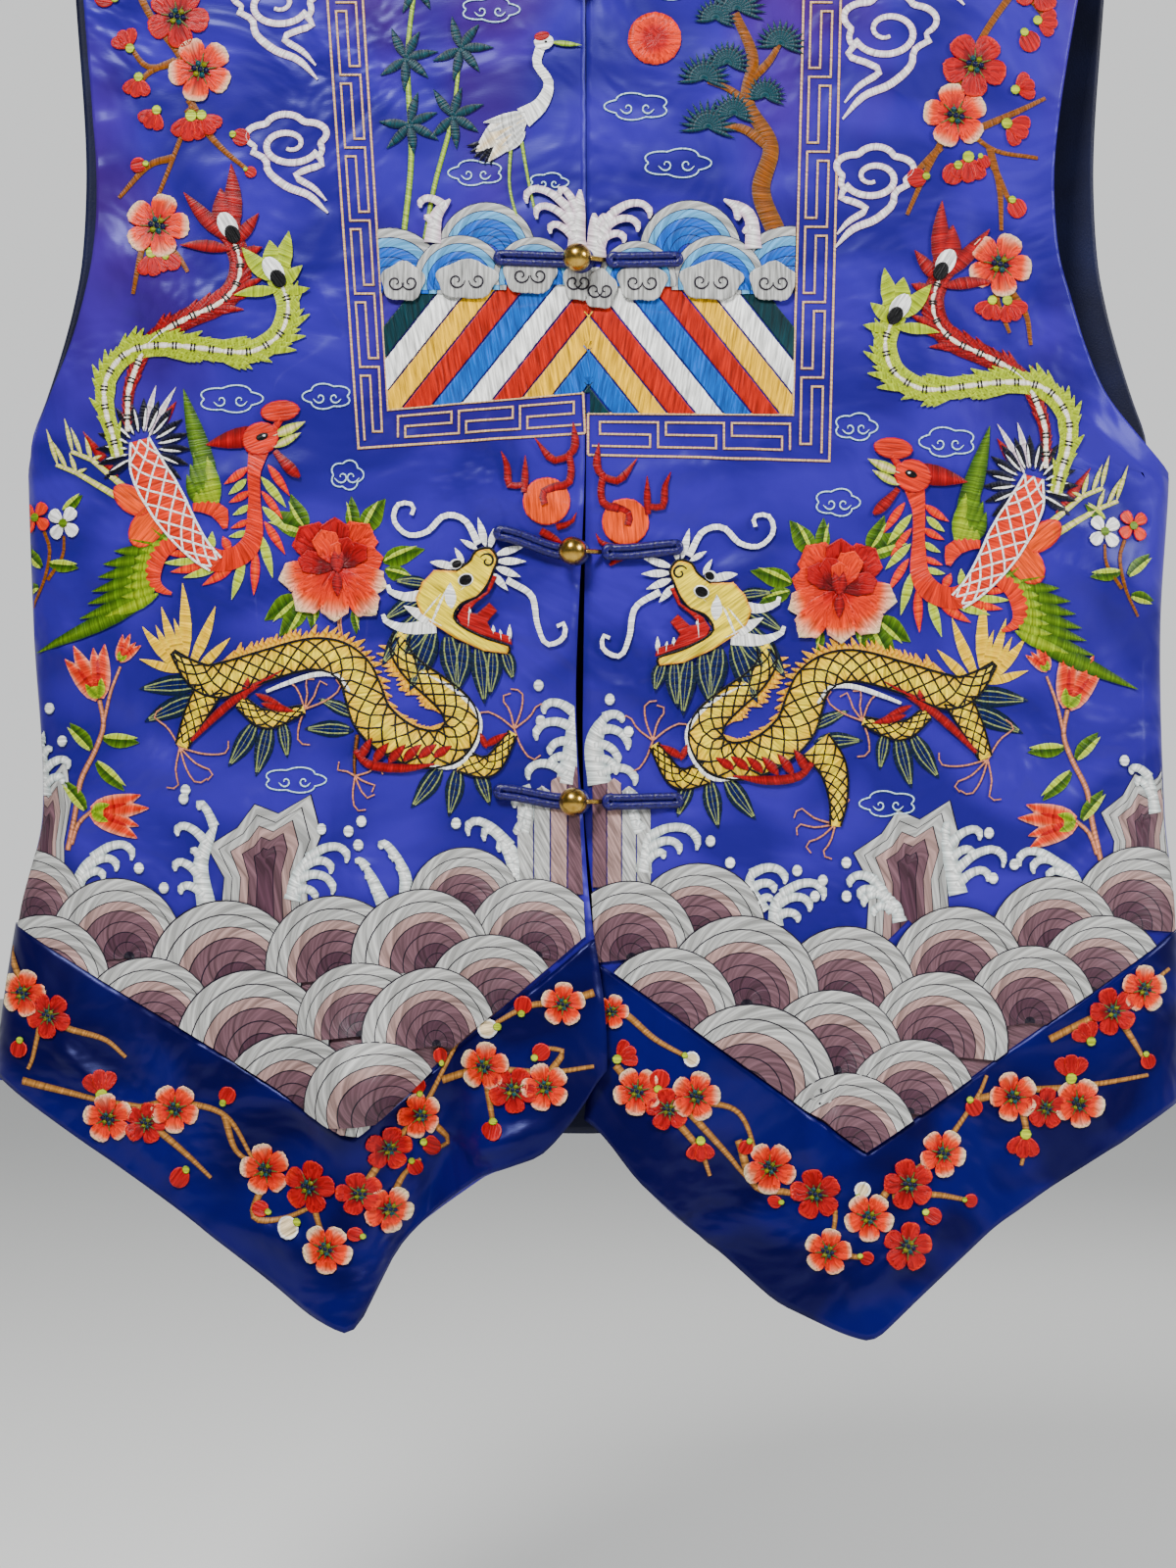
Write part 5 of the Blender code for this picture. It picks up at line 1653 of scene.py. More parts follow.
def frilled(length, width, count=22):
    """Outline of a broad petal with a wavy outer edge, growing from the origin along +x."""
    turn = np.linspace(-np.pi, np.pi, count, endpoint=False)
    frill = 1 + 0.07 * np.cos(turn * 7) * (np.abs(turn) < 2)
    along = length * (0.52 + 0.48 * np.cos(turn) * frill)
    across = width / 2 * np.sin(turn) * frill * (0.75 + 0.25 * np.cos(turn))
    return np.stack((along, across), axis=1)


def peony(hoop):
    """Leaves, a stem and the petals, outer ones first."""
    x, y = 344, 580
    for at in PEONY_LEAVES:
        leaf(hoop, *at[:5], ("leaf", "green"), at[5], 0, 0.3, (0.2, 0.8, 1.0, 0.95, 0.7, 0.4, 0.05))
        leaf(hoop, at[0], at[1], at[2] * 0.86, at[3] * 0.3, at[4] - 9, ("pale_green", "lime"), at[5], 1)
    twig(hoop, ((350, 612), (347, 634), (350, 652)), 5, 3, ("pale_pink", "tan"))
    for k, (angle, length, width, shade) in enumerate(PEONY_PETALS):
        outline = turned(frilled(length, width), x, y, angle)
        hoop.patch(outline, PEONY_COLOURS[shade], (0.5, 0.8), (x, y), 2 + k, 0.3,
                   fade=(length * 0.2, length))
    for angle in (-100, -76, 88):
        leaf(hoop, x, y + 6, 24, 11, angle, RED, 0, 18)


def tulip(hoop, x, y, size, angle):
    """A pointed flower with a pale rim and two small green leaves at its foot."""
    for turn, length, width in ((-24, 0.9, 0.34), (24, 0.92, 0.34), (-9, 1.0, 0.34), (11, 0.86, 0.30)):
        leaf(hoop, x, y, size * length, size * width, angle + turn, ("pale_pink", "orange_red"), 0, 2, 0.34,
             (0.5, 1.0, 1.0, 0.8, 0.5, 0.05))
    leaf(hoop, x, y, size * 0.62, size * 0.26, angle - 18, ("orange_red", "brick"), 0, 3)
    leaf(hoop, x, y, size * 0.66, size * 0.26, angle + 16, ("orange_red", "brick"), 0, 3)
    for turn in (-26, 26):
        leaf(hoop, x, y, size * 0.34, size * 0.20, angle + turn, ("lime", "leaf"), 0, 4)


def leaf_pair(hoop, x, y, length, width, angle):
    """A leaf in two greens, light above its middle line and dark below it."""
    leaf(hoop, x, y, length, width, angle, ("leaf", "green"), 0, 1, 0.3, (0.2, 0.8, 1.0, 0.85, 0.5, 0.05))
    shift = turned([(0, -width * 0.18)], 0, 0, angle)[0]
    leaf(hoop, x + shift[0], y + shift[1], length * 0.95, width * 0.5, angle - 3, ("pale_green", "lime"), 0,
         2)


def small_flower(hoop, x, y, radius, turn, colours):
    """Four petals round a green middle."""
    for k in range(4):
        hoop.patch(turned(petal(radius, 0.46, 13), x, y, turn + 90 * k), colours, (0.5,), (x, y), 2 + k % 2,
                   0.3)
    disc(hoop, x, y, radius * 0.25, ("olive", "leaf"), (0.3,), 5, 0.35, 8)


def sprigs(hoop):
    """Two sprigs beside the front's outer edge."""
    twig(hoop, ((100, 714), (104, 740), (95, 766), (80, 796), (74, 830), (66, 868)), 5, 6, ROSY_BARK)
    twig(hoop, ((104, 738), (112, 706), (122, 680)), 4, 3, ROSY_BARK)
    twig(hoop, ((70, 862), (78, 840), (94, 826)), 5, 4, ROSY_BARK)
    for at in ((92, 764, 36, 16, -132), (104, 754, 38, 16, 6), (96, 778, 42, 15, 44),
               (86, 826, 38, 15, -128)):
        leaf_pair(hoop, *at)
    tulip(hoop, 100, 712, 60, -108)
    tulip(hoop, 92, 828, 60, 6)
    tulip(hoop, 121, 674, 30, -58)
    twig(hoop, ((40, 540), (46, 560), (40, 590), (26, 618)), 4, 3, BARK)
    twig(hoop, ((62, 545), (60, 566), (44, 590)), 3, 4, BARK)
    for at in ((46, 574, 32, 14, 8), (38, 576, 34, 14, -138), (34, 596, 26, 13, 168),
               (62, 520, 26, 12, -38)):
        leaf_pair(hoop, *at)
    small_flower(hoop, 31, 525, 18, 40, ("pink", "coral", "coral"))
    small_flower(hoop, 62, 532, 19, 40, ("white", "white", "cream"))


def pearl(hoop, x, y, way):
    """A round pearl with a flame curling over it. way turns it over."""
    disc(hoop, x, y, 24, ("coral", "salmon", "salmon"), (0.8, 0.8), 1, 0.4, 22, 85.0)

    def place(points):
        return [(x + way * a, y + b) for a, b in points]

    for points, widths in (
        (((-2, 4), (-4, -8), (8, -14), (22, -18), (25, -34), (22, -48)), (7, 8, 9, 8, 7, 7)),
        (((22, -46), (29, -56), (27, -80)), (7, 9, 1)), (((23, -46), (6, -42), (-12, -64)), (7, 8, 1)),
        (((-23, -8), (-22, -24), (-22, -46)), (6, 8, 1)),
        (((-24, -16), (-38, -16), (-40, -36), (-46, -50)), (6, 8, 7, 1)),
        (((10, 26), (24, 22), (30, 12)), (7, 6, 1)), (((-6, 30), (8, 38), (16, 44)), (8, 9, 3)),
    ):
        hoop.ribbon(place(points), widths, RED, 6, 0.38)


for side, peony_line, sprig_line, drops in (("left", None, None, (0, 0)), ("right", 599.5, 595, (22, 10))):
    hoop = Hoop(f"peony_{side}", flip=peony_line, drop=drops[0])
    peony(hoop)
    keep(hoop, side)
    hoop = Hoop(f"sprigs_{side}", flip=sprig_line, drop=drops[1])
    sprigs(hoop)
    keep(hoop, side)
    hoop = Hoop(f"pearl_{side}")
    pearl(hoop, *((558, 513, 1) if side == "left" else (638, 534, -1)))
    keep(hoop, side)

# %% [markdown]
# ## Clouds
# Large scroll clouds are thick pale outlines. Small ones are a single thin thread. Both are made by
# formula: bumps on an ellipse, and a curl inside.

# %% Clouds


def scroll_cloud(hoop, x, y, size, way=1, tall=1.0):
    """A scroll cloud: a bumpy head over a curl, and two tails that run down to a point."""

    def place(points):
        return [(x + way * a * size, y + b * size * tall) for a, b in points]

    head = []
    for a in np.linspace(150, 400, 40):
        lobe = 0.84 + 0.22 * abs(math.cos(math.radians(a) * 2.6 + 0.5))
        head.append((0.44 * lobe * math.cos(math.radians(a)),
                     0.30 * lobe * math.sin(math.radians(a)) - 0.18))
    inner = [(0.20 * s * math.cos(math.radians(a)) + 0.02, 0.15 * s * math.sin(math.radians(a)) - 0.12)
             for a, s in zip(np.linspace(20, 470, 20), np.linspace(1.7, 0.35, 20))]
    colours = ("pink_white", "white")
    hoop.ribbon(place(head), (5, 7, 7, 7, 7, 6), colours, 1, 0.38, count=56)
    hoop.ribbon(place(inner), (7, 7, 7, 6, 4), colours, 1, 0.38, count=36)
    tail = ((-0.40, -0.04), (-0.24, 0.06), (-0.20, 0.22), (0.0, 0.40), (0.26, 0.52), (0.46, 0.74))
    second = ((0.32, 0.0), (0.40, 0.12), (0.20, 0.20), (0.10, 0.28), (0.30, 0.42), (0.44, 0.58))
    hoop.ribbon(place(tail), (6, 7, 8, 8, 7, 2), colours, 1, 0.38)
    hoop.ribbon(place(second), (6, 7, 7, 7, 6, 2), colours, 1, 0.38)


def thin_cloud(hoop, x, y, width, height, way=1):
    """A small cloud with five lobes, in one thin thread."""
    thread = ("pale_blue", "white")
    turn = np.linspace(0, 2 * np.pi, 60)
    lobe = 0.80 + 0.22 * np.abs(np.cos(turn * 2.5))
    outline = np.stack((x + way * width / 2 * lobe * np.cos(turn), y + height / 2 * lobe * np.sin(turn)),
                       axis=1)
    hoop.ribbon(outline, (1.7, 1.7), thread, 1, 0.25, sharp=True)
    for k in (-1, 1):
        middle = (x + k * width * 0.15, y + height * 0.06)
        curl(hoop, *middle, height * 0.22, 90 - 60 * k, 0.95 * k, 1.8, thread, 1, height * 0.10, 0.25)


SCROLLS = {
    "left": ((280, 14, 96, 1, 0.95), (293, 158, 92, 1, 0.9), (262, -64, 80, -1, 0.9)),
    "right": ((908, 44, 106, -1, 1.0), (892, 192, 88, -1, 0.95), (948, -50, 80, 1, 0.9)),
}
THIN_CLOUDS = {
    "left": ((236, 408, 66, 28, 1), (335, 406, 50, 26, -1), (355, 486, 34, 30, 1), (302, 796, 64, 26, 1)),
    "right": ((872, 437, 44, 28, 1), (966, 452, 58, 30, -1), (853, 514, 46, 28, 1), (905, 820, 58, 26, -1)),
}
for side in ("left", "right"):
    hoop = Hoop(f"clouds_{side}")
    for x, y, size, way, tall in SCROLLS[side]:
        scroll_cloud(hoop, x, y, size, way, tall)
    for x, y, width, height, way in THIN_CLOUDS[side]:
        thin_cloud(hoop, x, y, width, height, way)
    keep(hoop, side)

# %% [markdown]
# ## The square badge
# A fret in couched thread frames the badge. Below are slanting stripes of deep water, then a row of
# cloud heads and blue waves. The picture above them is a plain one of the usual things, a crane, a
# pine, bamboo and the sun, in an arrangement of its own.

# %% Badge frame
BADGE = {
    "left": dict(
        outer=((318, -78), (334, 0), (367, 459), (597, 444)),
        inner=((356, -44), (370, 0), (397, 420), (595, 403)),
        top=((318, -78), (585, -86), (356, -44), (586, -52)), way=1,
    ),
    "right": dict(
        outer=((874, -78), (858, 0), (845, 472), (600, 466)),
        inner=((834, -44), (820, 0), (808, 425), (600, 424)),
        top=((874, -78), (600, -84), (834, -44), (600, -50)), way=-1,
    ),
}
FRET_TURN = ((0.0, 0.22), (0.0, 0.80), (0.88, 0.80), (0.88, 0.51), (0.12, 0.51), (0.12, 0.22), (1.0, 0.22))
BADGE_THREAD = ("sand", "cream")


def fret(hoop, outer, inner, axis, start, end, pitch=74):
    """A running fret between two lines. axis is 0 for a level run and 1 for an upright one."""
    outer, inner = np.array(outer, float), np.array(inner, float)

    def at(place, across):
        ordered = [line[np.argsort(line[:, axis], kind="stable")] for line in (outer, inner)]
        rim, core = [np.interp(place, line[:, axis], line[:, 1 - axis]) for line in ordered]
        value = rim + (core - rim) * across
        return (place, value) if axis == 0 else (value, place)

    units = max(round(abs(end - start) / pitch), 1)
    line = []
    for k in range(units):
        for along, across in FRET_TURN:
            line.append(at(start + (end - start) * (k + along) / units, across))
    line = [p for k, p in enumerate(line) if k == 0 or math.dist(p, line[k - 1]) > 0.5]
    hoop.ribbon(line, (2.2, 2.2), BADGE_THREAD, 1, 0.3, sharp=True)


for side in ("left", "right"):
    hoop = Hoop(f"badge_frame_{side}")
    outer, inner, top, way = BADGE[side].values()
    for line in (outer, inner, (top[0], top[1]), (top[2], top[3]), (outer[-1], inner[-1]),
                 (top[1], top[3])):
        hoop.ribbon(line, (2.4, 2.4), BADGE_THREAD, 1, 0.3, sharp=True)
    foot = outer[2][1]
    fret(hoop, outer[1:3], inner[1:3], 1, 2, foot - 8)
    fret(hoop, outer[0:2], inner[0:2], 1, -66, -2)
    fret(hoop, outer[2:4], inner[2:4], 0, outer[2][0] + 40 * way, outer[3][0] - 4 * way)
    fret(hoop, top[:2], top[2:], 0, top[0][0] + 44 * way, top[1][0])
    keep(hoop, side)

# %% Badge water
STRIPES = ("green_blue", "white", "deep_yellow", "rust", "azure", "white", "rust", "deep_yellow", "azure",
           "green_blue")
BADGE_WAVE = ("wave_white", "pale_blue", "sky", "azure", "azure", "blue")
WATER = {
    "left": dict(
        start=397, way=1, foot=(397, 420),
        fans=((497, 258, 50), (398, 292, 58), (470, 290, 48), (545, 286, 42)),
        heads=((412, 290, 44), (477, 288, 62), (541, 283, 54), (590, 290, 30)),
        crests=(
            (((460, 206), (446, 222), (442, 250)), 14, ((430, 212), (436, 226))),
            (((578, 208), (586, 236), (592, 262)), 16, ((538, 206), (548, 222), (562, 238))),
            (((592, 196), (590, 226), (588, 262)), 16, ((572, 200), )),
        ),
        trims=((597, 0, 1, -0.01), (384, 200, -220, 13), (397, 420, 17, 198)),
    ),
    "right": dict(
        start=808, way=-1, foot=(808, 425),
        fans=((704, 258, 52), (806, 292, 60), (732, 290, 48), (650, 288, 40)),
        heads=((612, 298, 34), (655, 290, 50), (725, 289, 64), (788, 290, 48)),
        crests=(
            (((738, 206), (764, 222), (768, 256)), 14, ((752, 226), (760, 240))),
            (((628, 214), (616, 236), (606, 262)), 16, ((662, 222), (650, 236), (636, 248))),
            (((606, 220), (608, 240), (608, 268)), 18, ((618, 226), )),
        ),
        trims=((600, 0, -1, 0.0), (812, 170, 255, 4), (808, 425, -1, 208)),
    ),
}
for side, water in WATER.items():
    hoop = Hoop(f"badge_water_{side}")
    way, (foot_x, foot_y) = water["way"], water["foot"]
    for k, colour in enumerate(STRIPES):
        bottom = foot_x + way * (28.5 * k - 84)
        outline = [(bottom + way * 1.2, foot_y + 14), (bottom + way * 27.3, foot_y + 14),
                   (bottom + way * 157, foot_y - 150),
                   (bottom + way * 131, foot_y - 150)]
        hoop.patch(outline, (colour, colour), (0.5,), 80.0 if way > 0 else 100.0, 0, 0.35)
    for k, (x, y, radius) in enumerate(water["fans"]):
        fan(hoop, x, y, radius, BADGE_WAVE, "navy", 3 + 2 * k, -190, 10, 22)
    for trunk, width, tips in water["crests"]:
        crest(hoop, trunk, width, tips, 11, 8.0, ("pink_white", "white"))
    for x, y, width in water["heads"]:
        turn = np.linspace(0, 2 * np.pi, 40, endpoint=False)
        wavy = 1 + 0.07 * np.cos(turn * 5 + 1.2)
        outline = np.stack((x + width / 2 * wavy * np.cos(turn), y + 20 * wavy * np.sin(turn)), axis=1)
        hoop.patch(outline, ("wave_white", "wave_white"), (0.6,), 90.0, 13, 0.4)
        for k in (-1, 1):
            curl(hoop, x + k * width * 0.17, y + 1, 8.5, 90 + 90 * k, -1.2 * k, 1.8,
                 ("wave_line", "wave_line"), 18, 0, 0.15)
    for x, y, out_x, out_y in water["trims"]:
        hoop.trim(x, y, out_x, out_y)
    keep(hoop, side)

# %% Badge picture
hoop = Hoop("badge_picture_left")
STEMS = (
    (((412, 246), (420, 160), (416, 60), (424, -20)), 6),
    (((434, 246), (444, 190), (462, 120), (470, 50)), 5),
)
for path, width in STEMS:
    hoop.ribbon(path, (width, width, width * 0.7), PALE_LEAF, 0, 0.3)
BAMBOO = ((414, 60, 70), (424, -18, 90), (462, 120, 60), (470, 50, 80), (418, 128, 110))
for x, y, start in BAMBOO:
    tufts(hoop, [(x, y, 34 - 3 * (k % 2), 10, start - 190 + 52 * k, 3) for k in range(6)], TEAL, 2)
tufts(hoop, ((540, 118, 66, 30, 150, -6), (532, 124, 54, 20, 128, 0)), ("white", "cream"), 4, 0.45)
tufts(hoop, [(506, 146, 30 - k, 8, 168 - 14 * k, 2) for k in range(6)], ("navy", "black"), 3)
tufts(hoop, [(536, 116 + 5 * k, 44 - 4 * k, 9, 162 - 9 * k, 3) for k in range(5)], ("white", "wave_white"),
      6, 0.4)
hoop.ribbon(((534, 122), (552, 108), (560, 86), (548, 66), (552, 48)), (22, 15, 10, 9, 10), WHITE, 5, 0.4)
disc_turned(hoop, 555, 44, 8, 10, -10, WHITE, 7)
disc_turned(hoop, 553, 38, 4.5, 8, -12, ("brick", "brick"), 8)
leaf(hoop, 562, 44, 32, 6, 6, PALE_LEAF, 0, 7)
disc_turned(hoop, 557, 44, 1.6, 1.6, 0, BLACK, 9, 0.2, ())
for x, foot in ((520, 528), (530, 548)):
    hoop.ribbon(((x + 2, 144), (foot - 8, 190), (foot, 226)), (4, 3, 3), PALE_LEAF, 3, 0.3)
thin_cloud(hoop, 500, 10, 60, 26, 1)
thin_cloud(hoop, 486, 178, 56, 26, -1)
thin_cloud(hoop, 560, 188, 40, 20, 1)
keep(hoop, "left")

hoop = Hoop("badge_picture_right")
disc(hoop, 668, 40, 27, ("coral", "coral", "orange_red", "brick"), (2.4, 2.4, 2.4), 1, 0.4, 24,
     grain=(668, 40))
TRUNK = ((792, 240), (776, 196), (786, 150), (762, 104), (768, 60), (750, 14))
hoop.ribbon(TRUNK, (20, 19, 16, 13, 12, 9), BARK, 2, 0.45, columns=4)
hoop.ribbon(((784, 150), (756, 132), (728, 134)), (12, 9, 6), BARK, 2, 0.4)
hoop.ribbon(((764, 84), (784, 64), (796, 44)), (10, 8, 5), BARK, 2, 0.4)
hoop.ribbon(((768, 110), (744, 92), (722, 84)), (9, 7, 5), BARK, 2, 0.4)
NEEDLES = (
    (722, 132, 30), (748, 118, 24), (718, 82, 28), (742, 66, 24), (796, 46, 26), (752, 10, 30),
    (780, 100, 22), (730, 20, 22),
)
for x, y, size in NEEDLES:
    tufts(hoop, [(x, y, size, 5, a, 2) for a in range(-190, 20, 16)], TEAL, 4)
thin_cloud(hoop, 650, 110, 66, 28, -1)
thin_cloud(hoop, 690, 168, 70, 30, 1)
thin_cloud(hoop, 690, -12, 60, 24, -1)
keep(hoop, "right")

# %% [markdown]
# ## Cord closures and brass balls
# Each closure is two rolled satin cords sewn down side by side. The left one opens in a loop round a
# brass ball, and the ball's shank runs over the loop's end into the eye of the right one. A tube of
# round rings along a middle line makes the cord, and its own length and girth give the twisted lay
# its UV map.

# %% Brass and cord materials


def brass_material():
    """Polished brass that has dulled a little, with faint scratches."""
    made, tree, shader = start_material("brass", srgb(154, 130, 52), 0.2, 1.0)
    place = object_place(tree)
    dull = noise(tree, place, 350.0, 4.0)
    paint(tree, shader, blend_colours(tree, dull, srgb(150, 116, 46), srgb(196, 160, 80)))
    tree.links.new(spread(tree, dull, 0.0, 1.0, 0.14, 0.36), shader.inputs["Roughness"])
    scratches = noise(tree, place, 900.0, 2.0, (1, 0.1, 1))
    bump(tree, shader, scratches, 0.08, 0.0002)
    return made


def cord_material():
    """Bias-cut satin rolled into a cord. Its folds run round it on a slant, with painted shade in their
    troughs and a painted highlight on their crests.
    """
    made, tree, shader = start_material("cord_cloth", srgb(10, 8, 70), 0.36, Specular_IOR_Level=0.35)
    around = node(tree, "ShaderNodeUVMap", uv_map="cord").outputs["UV"]
    slanted = node(tree, "ShaderNodeMapping", {"Vector": around, "Rotation": (0, 0, 0.6)}).outputs[0]
    lay = node(tree, "ShaderNodeTexNoise", {"Vector": slanted, "Scale": 0.9, "Detail": 2.0}).outputs["Fac"]
    # Painted shade: the colour follows the bump's noise, darker in the troughs of the lay and lighter on
    # its crests.
    paint(tree, shader, blend_colours(tree, lay, srgb(4, 2, 46), srgb(26, 14, 104)))
    bump(tree, shader, lay, 0.5, 0.0005)
    return made


brass, cord_cloth = brass_material(), cord_material()

# %% Cords
CORD_RADIUS, BUTTON_RADIUS, BUTTON_LIFT = 0.0017, 0.0063, 0.0103
LOOP_REACH, BAR_REACH = 0.0415, 0.0400
CORD_SWELL = 1.08
BALL_ASIDE, LOOP_TIP, BAR_TIP = 0.0040, 0.0060, 0.0145
LOOP_EYE, BAR_EYE = 0.0042, 0.0021
SHANK_RADIUS, SHANK_START, SHANK_END, SHANK_FOOT = 0.0011, 0.0040, 0.0123, 0.0027
CLOSURE_HEIGHTS = (-0.2010, -0.3317, -0.4624, -0.5737)
LOOP_CLIMBS, BAR_CLIMBS = (0.0, 0.0010, 0.0085, 0.0045), (0.0, 0.0004, 0.0022, 0.0006)


def over_front(x, z, lift):
    """Points over the front near its opening, on a form without the small creases."""
    x, z = np.asarray(x, float), np.asarray(z, float)
    share = np.minimum(np.abs(x) / half_width(x, z), 1.0)
    deep = read(SECTIONS, "front", z) * (1 - share**SECTION_POWER) ** (1 / SECTION_POWER)
    return np.stack((x, -SEAM_GAP / 2 - deep - lift, z), axis=-1)


def cord_outline(folded, eye, waist, eye_radius):
    """The middle line of a doubled cord, folded at one end and open in an eye at the other."""
    way, length = (1 if eye > folded else -1), abs(eye - folded)
    turn = np.radians(np.arange(4, 90, 14))
    fold = np.stack((waist * (1 - np.cos(turn)), waist * np.sin(turn)), axis=1)
    neck = length - 2 * eye_radius - 0.004
    runs = np.stack((np.linspace(waist, neck, 12), np.full(12, waist)), axis=1)
    turn = np.radians(np.linspace(150, 6, 12))
    opened = np.stack((length - eye_radius + eye_radius * np.cos(turn), eye_radius * np.sin(turn)), axis=1)
    opened[0, 1] = max(opened[0, 1], waist)
    half = np.vstack((fold, runs, opened))
    half[:, 0] = folded + way * half[:, 0]
    return np.vstack((half, half[::-1] * (1, -1)))


def round_bar(name, points, radius, finish, around=14, closed=False):
    """A tube along points: a ring of points is bridged from station to station."""
    points = np.asarray(points, float)
    bm = bmesh.new()
    uv = bm.loops.layers.uv.new("cord")
    ahead = np.roll(points, -1, 0) - np.roll(points, 1, 0) if closed else np.gradient(points, axis=0)
    rings = []
    side = Vector((0, 1, 0))
    for point, run in zip(points, ahead):
        run = Vector(run).normalized()
        across = run.cross(side).normalized()
        turn = Matrix((across, run.cross(across), run)).transposed().to_4x4()
        turn.translation = Vector(point)
        rings.append(bmesh.ops.create_circle(bm, segments=around, radius=radius, matrix=turn)["verts"])
    pairs = list(zip(rings, rings[1:])) + ([(rings[-1], rings[0])] if closed else [])
    for first, second in pairs:
        for k in range(around):
            bm.faces.new((first[k], first[(k + 1) % around], second[(k + 1) % around], second[k]))
    if not closed:
        for end in (rings[0], rings[-1]):
            bmesh.ops.contextual_create(bm, geom=end)
    bmesh.ops.recalc_face_normals(bm, faces=bm.faces[:])
    station = {vert: (i, k) for i, one in enumerate(rings) for k, vert in enumerate(one)}
    runs = np.linalg.norm(np.diff(points, axis=0), axis=1)
    run = np.concatenate(([0], np.cumsum(runs))) * 1000
    for face in bm.faces:
        cells = [station[loop.vert] for loop in face.loops]
        numbers = [k for _, k in cells]
        wrap = max(numbers) == around - 1 and min(numbers) == 0 and len(cells) == 4
        for loop, (i, k) in zip(face.loops, cells):
            girth = k + (around if wrap and k == 0 else 0)
            loop[uv].uv = (run[i], girth / around * 2 * math.pi * radius * 1000)
    made = new_object(name, bm, finish)
    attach(made, "root")
    return made


for number, height in enumerate(CLOSURE_HEIGHTS, 1):
    middle = float(read(OPENING, "left", np.array([height]))[0])
    ball = middle - BALL_ASIDE
    for kind, folded, eye, eye_radius, climb in (
        ("loop", -LOOP_REACH, ball + LOOP_TIP, LOOP_EYE, LOOP_CLIMBS[number - 1]),
        ("bar", BAR_REACH, ball + BAR_TIP, BAR_EYE, BAR_CLIMBS[number - 1]),
    ):
        line = cord_outline(folded, eye, CORD_RADIUS + 0.0001, eye_radius)
        line[:, 1] += climb * smooth_step((line[:, 0] - eye) / (folded - eye) * 1.25 - 0.25)
        laid = over_front(line[:, 0], height + line[:, 1], CORD_RADIUS + SEAM_GAP + 0.0004)
        cord = round_bar(f"satin_{kind}_{number}", laid, CORD_RADIUS * CORD_SWELL, cord_cloth, 12, True)
        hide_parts(f"{kind}_{number}")
    bm = bmesh.new()
    bmesh.ops.create_uvsphere(bm, u_segments=40, v_segments=24, radius=BUTTON_RADIUS)
    centre = Vector(over_front([ball], [height], BUTTON_LIFT)[0])
    bmesh.ops.translate(bm, verts=bm.verts[:], vec=centre)
    ball_piece = new_object(f"brass_ball_{number}", bm, brass)
    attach(ball_piece, "root")
    start = over_front([ball + SHANK_START], [height], BUTTON_LIFT - 0.0003)[0]
    end = over_front([ball + SHANK_END], [height], SHANK_FOOT)[0]
    shank = round_bar(f"brass_shank_{number}", np.linspace(start, end, 5), SHANK_RADIUS, brass)
    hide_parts(f"button_{number}")
print("closures", len(CLOSURE_HEIGHTS))

# %% [markdown]
# ## The hanger
# The photograph ends below the shoulders, so the hanger is a plain turned bar with a wire hook.

# %% Wood and wire


def wood_material():
    """Pale turned wood with its grain along the bar."""
    made, tree, shader = start_material("hanger_wood", srgb(172, 126, 80), 0.38, Coat_Weight=0.3)
    grain = noise(tree, object_place(tree), 60.0, 4.0, (0.08, 1, 1))
    paint(tree, shader, blend_colours(tree, grain, srgb(140, 94, 54), srgb(196, 152, 102)))
    bump(tree, shader, grain, 0.15, 0.0004)
    return made


def steel_material():
    """Bright drawn wire."""
    made, tree, shader = start_material("hook_steel", srgb(196, 198, 202), 0.24, 1.0)
    drawn = noise(tree, object_place(tree), 700.0, 2.0)
    bump(tree, shader, drawn, 0.1, 0.0002)
    tree.links.new(spread(tree, drawn, 0.0, 1.0, 0.18, 0.34), shader.inputs["Roughness"])
    return made


ARM_RADIUS, ARM_REACH, ARM_CREST = 0.007, 0.200, 0.050
WIRE_RADIUS, HOOK_RADIUS = 0.0022, 0.022
clear = (PANEL_THICK + LINING_THICK + 2 * SEAM_GAP + ARM_RADIUS) * math.hypot(1, SHOULDER_SLOPE)
xs = np.linspace(-ARM_REACH, ARM_REACH, 61)
arm_z = NECK_POINT_Z - SHOULDER_SLOPE * (np.hypot(xs, ARM_CREST) - NECK_HALF) - clear
arms = round_bar("hanger_arms", np.stack((xs, 0 * xs, arm_z), axis=1), ARM_RADIUS, wood_material(), 24)
ease = arms.modifiers.new("eased ends", "BEVEL")
ease.width, ease.segments, ease.limit_method, ease.angle_limit = 0.002, 3, "ANGLE", math.radians(60)
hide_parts("hanger")
foot = arm_z[30] + ARM_RADIUS + SEAM_GAP
turns = np.radians(np.linspace(-52, 205, 44))
hook_z = -HOOK_RADIUS + WIRE_RADIUS
stem = spline([(0, foot), (0, -0.062), (0.0015, -0.054), (0.0060, -0.0465)], 12)
bend = np.stack((HOOK_RADIUS * np.cos(turns), hook_z + HOOK_RADIUS * np.sin(turns)), axis=1)
wire = np.insert(np.vstack((stem, bend)), 1, 0.0, axis=1)
hook = round_bar("wire_hook", wire, WIRE_RADIUS, steel_material(), 16)
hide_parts("hanger_hook")
print("hanger", round(2 * ARM_REACH, 3), "m wide")

# %% [markdown]
# ## Sheets of cloth
# Each cloth piece above carries the rectangle that it was cut from and its flat area; here they are
# counted.

print("sheets", len(cloth))

# %% [markdown]
# ## Floor, light and camera
# A pale floor and large soft lights keep the colours true. The camera looks straight at the fronts
# from about a metre and a half, and a long lens keeps the side edges and the middle at one scale.

# %% Stage


def pale_material():
    """A pale plaster-like floor."""
    made, tree, shader = start_material("pale_floor", (0.72, 0.72, 0.70), 0.9)
    bump(tree, shader, noise(tree, object_place(tree), 60.0, 3.0), 0.1, 0.002)
    return made


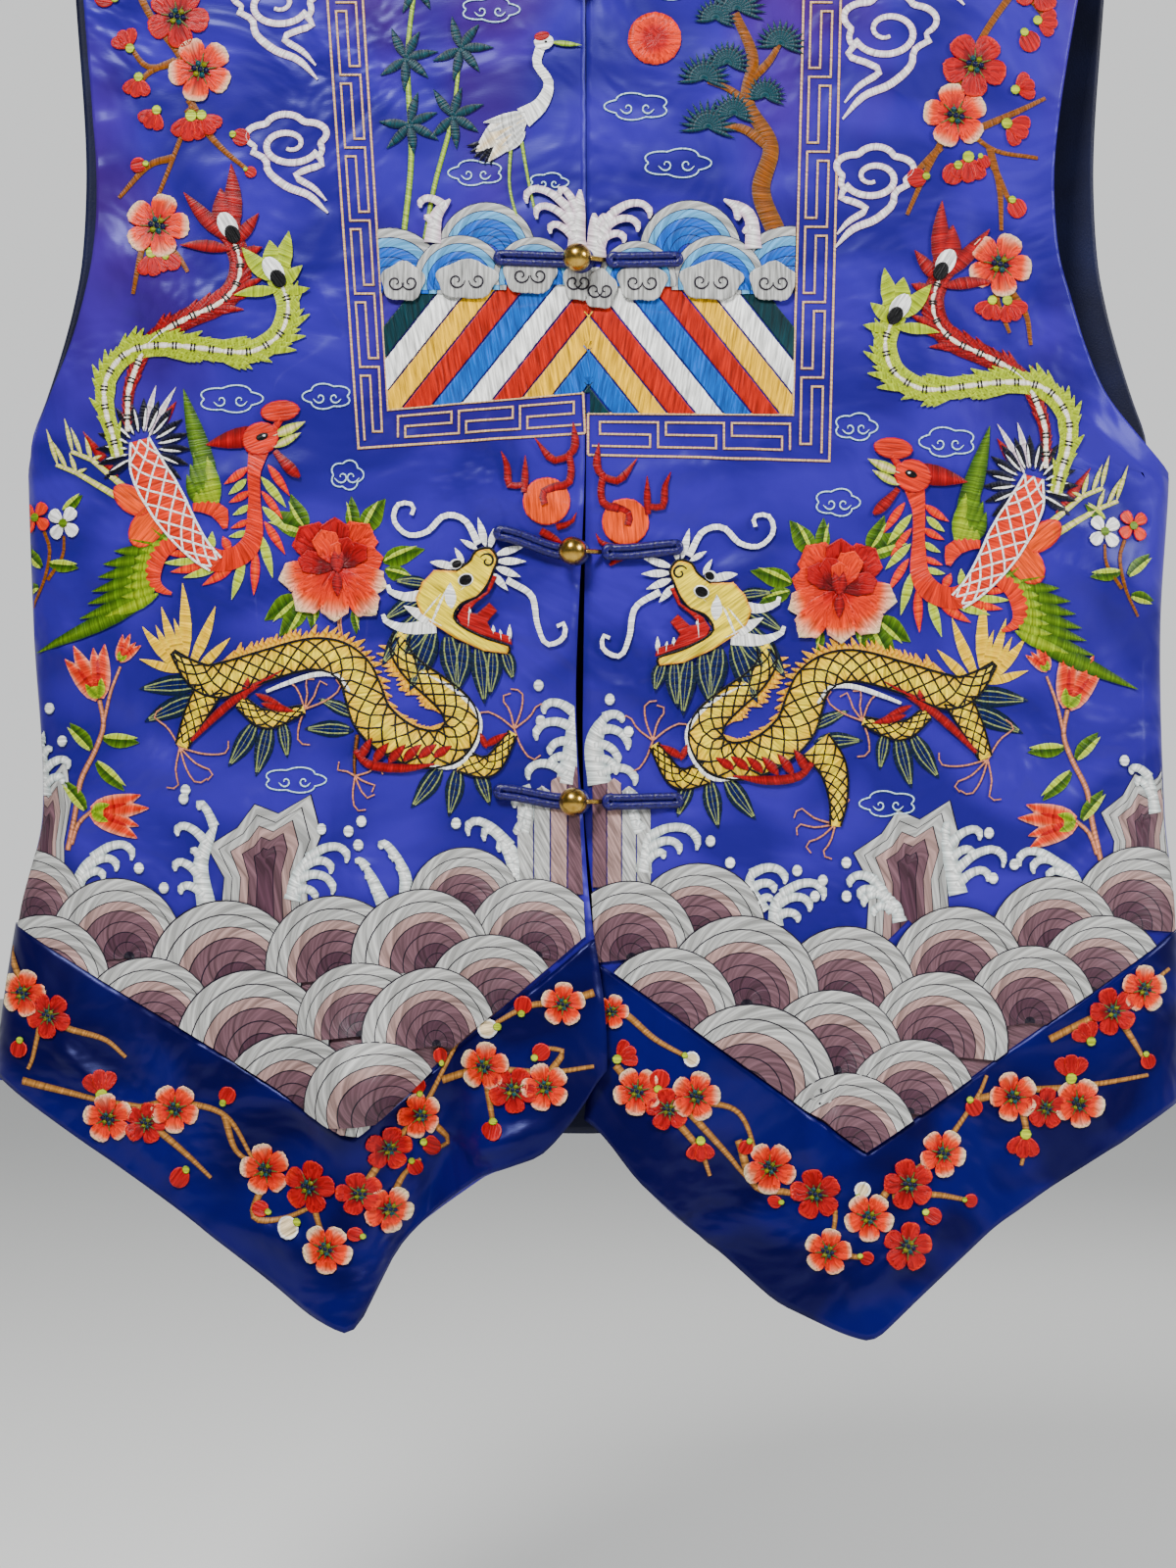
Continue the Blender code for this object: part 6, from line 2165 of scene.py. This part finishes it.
bm = bmesh.new()
bmesh.ops.create_grid(bm, x_segments=2, y_segments=2, size=6.0)
bmesh.ops.translate(bm, verts=bm.verts[:], vec=(0, 0, -1.05))
floor = new_object("floor", bm, pale_material())

world = bpy.data.worlds.new("studio")
world.use_nodes = True
sky = world.node_tree.nodes["Background"]
towards = node(world.node_tree, "ShaderNodeTexCoord").outputs["Generated"]
ahead = node(world.node_tree, "ShaderNodeSeparateXYZ", {0: towards}).outputs["Y"]
share = spread(world.node_tree, ahead, -0.3, 0.8)
pale = blend_colours(world.node_tree, share, (0.14, 0.15, 0.17), (0.92, 0.93, 0.93))
world.node_tree.links.new(pale, sky.inputs["Color"])
bpy.context.scene.world = world

SHEET_CENTRE = (600, 800)
centre_x = (SHEET_CENTRE[0] - SHEET_MIDDLE) * UNIT
centre_z = NECK_POINT_Z - (SHEET_CENTRE[1] - SHEET_TOP) * UNIT


def soft_light(name, place, aim, size, power):
    """A round area light that faces a point."""
    data = bpy.data.lights.new(name, "AREA")
    data.shape, data.size, data.energy = "DISK", size, power
    lamp = bpy.data.objects.new(name, data)
    lamp.location = place
    lamp.rotation_euler = (Vector(aim) - Vector(place)).to_track_quat("-Z", "Y").to_euler()
    bpy.context.scene.collection.objects.link(lamp)


soft_light("window", (-0.6, -1.6, 1.1), (0, 0, -0.5), 0.6, 88)
soft_light("fill", (1.7, -0.9, 0.3), (0, 0, -0.5), 0.6, 38)
soft_light("behind", (0.6, 1.6, 0.6), (0, 0, -0.4), 1.2, 12)

CAMERA_AWAY, FRONT_PLANE = 1.5, -0.028
camera_data = bpy.data.cameras.new("camera")
camera_data.sensor_width = 36.0
camera_data.lens = 36.0 * CAMERA_AWAY / (1600 * UNIT)
camera = bpy.data.objects.new("camera", camera_data)
camera.location = (centre_x, FRONT_PLANE - CAMERA_AWAY, centre_z)
camera.rotation_euler = (math.pi / 2, 0, 0)
bpy.context.scene.collection.objects.link(camera)
bpy.context.scene.camera = camera
print("lens", round(camera_data.lens, 1), "mm")
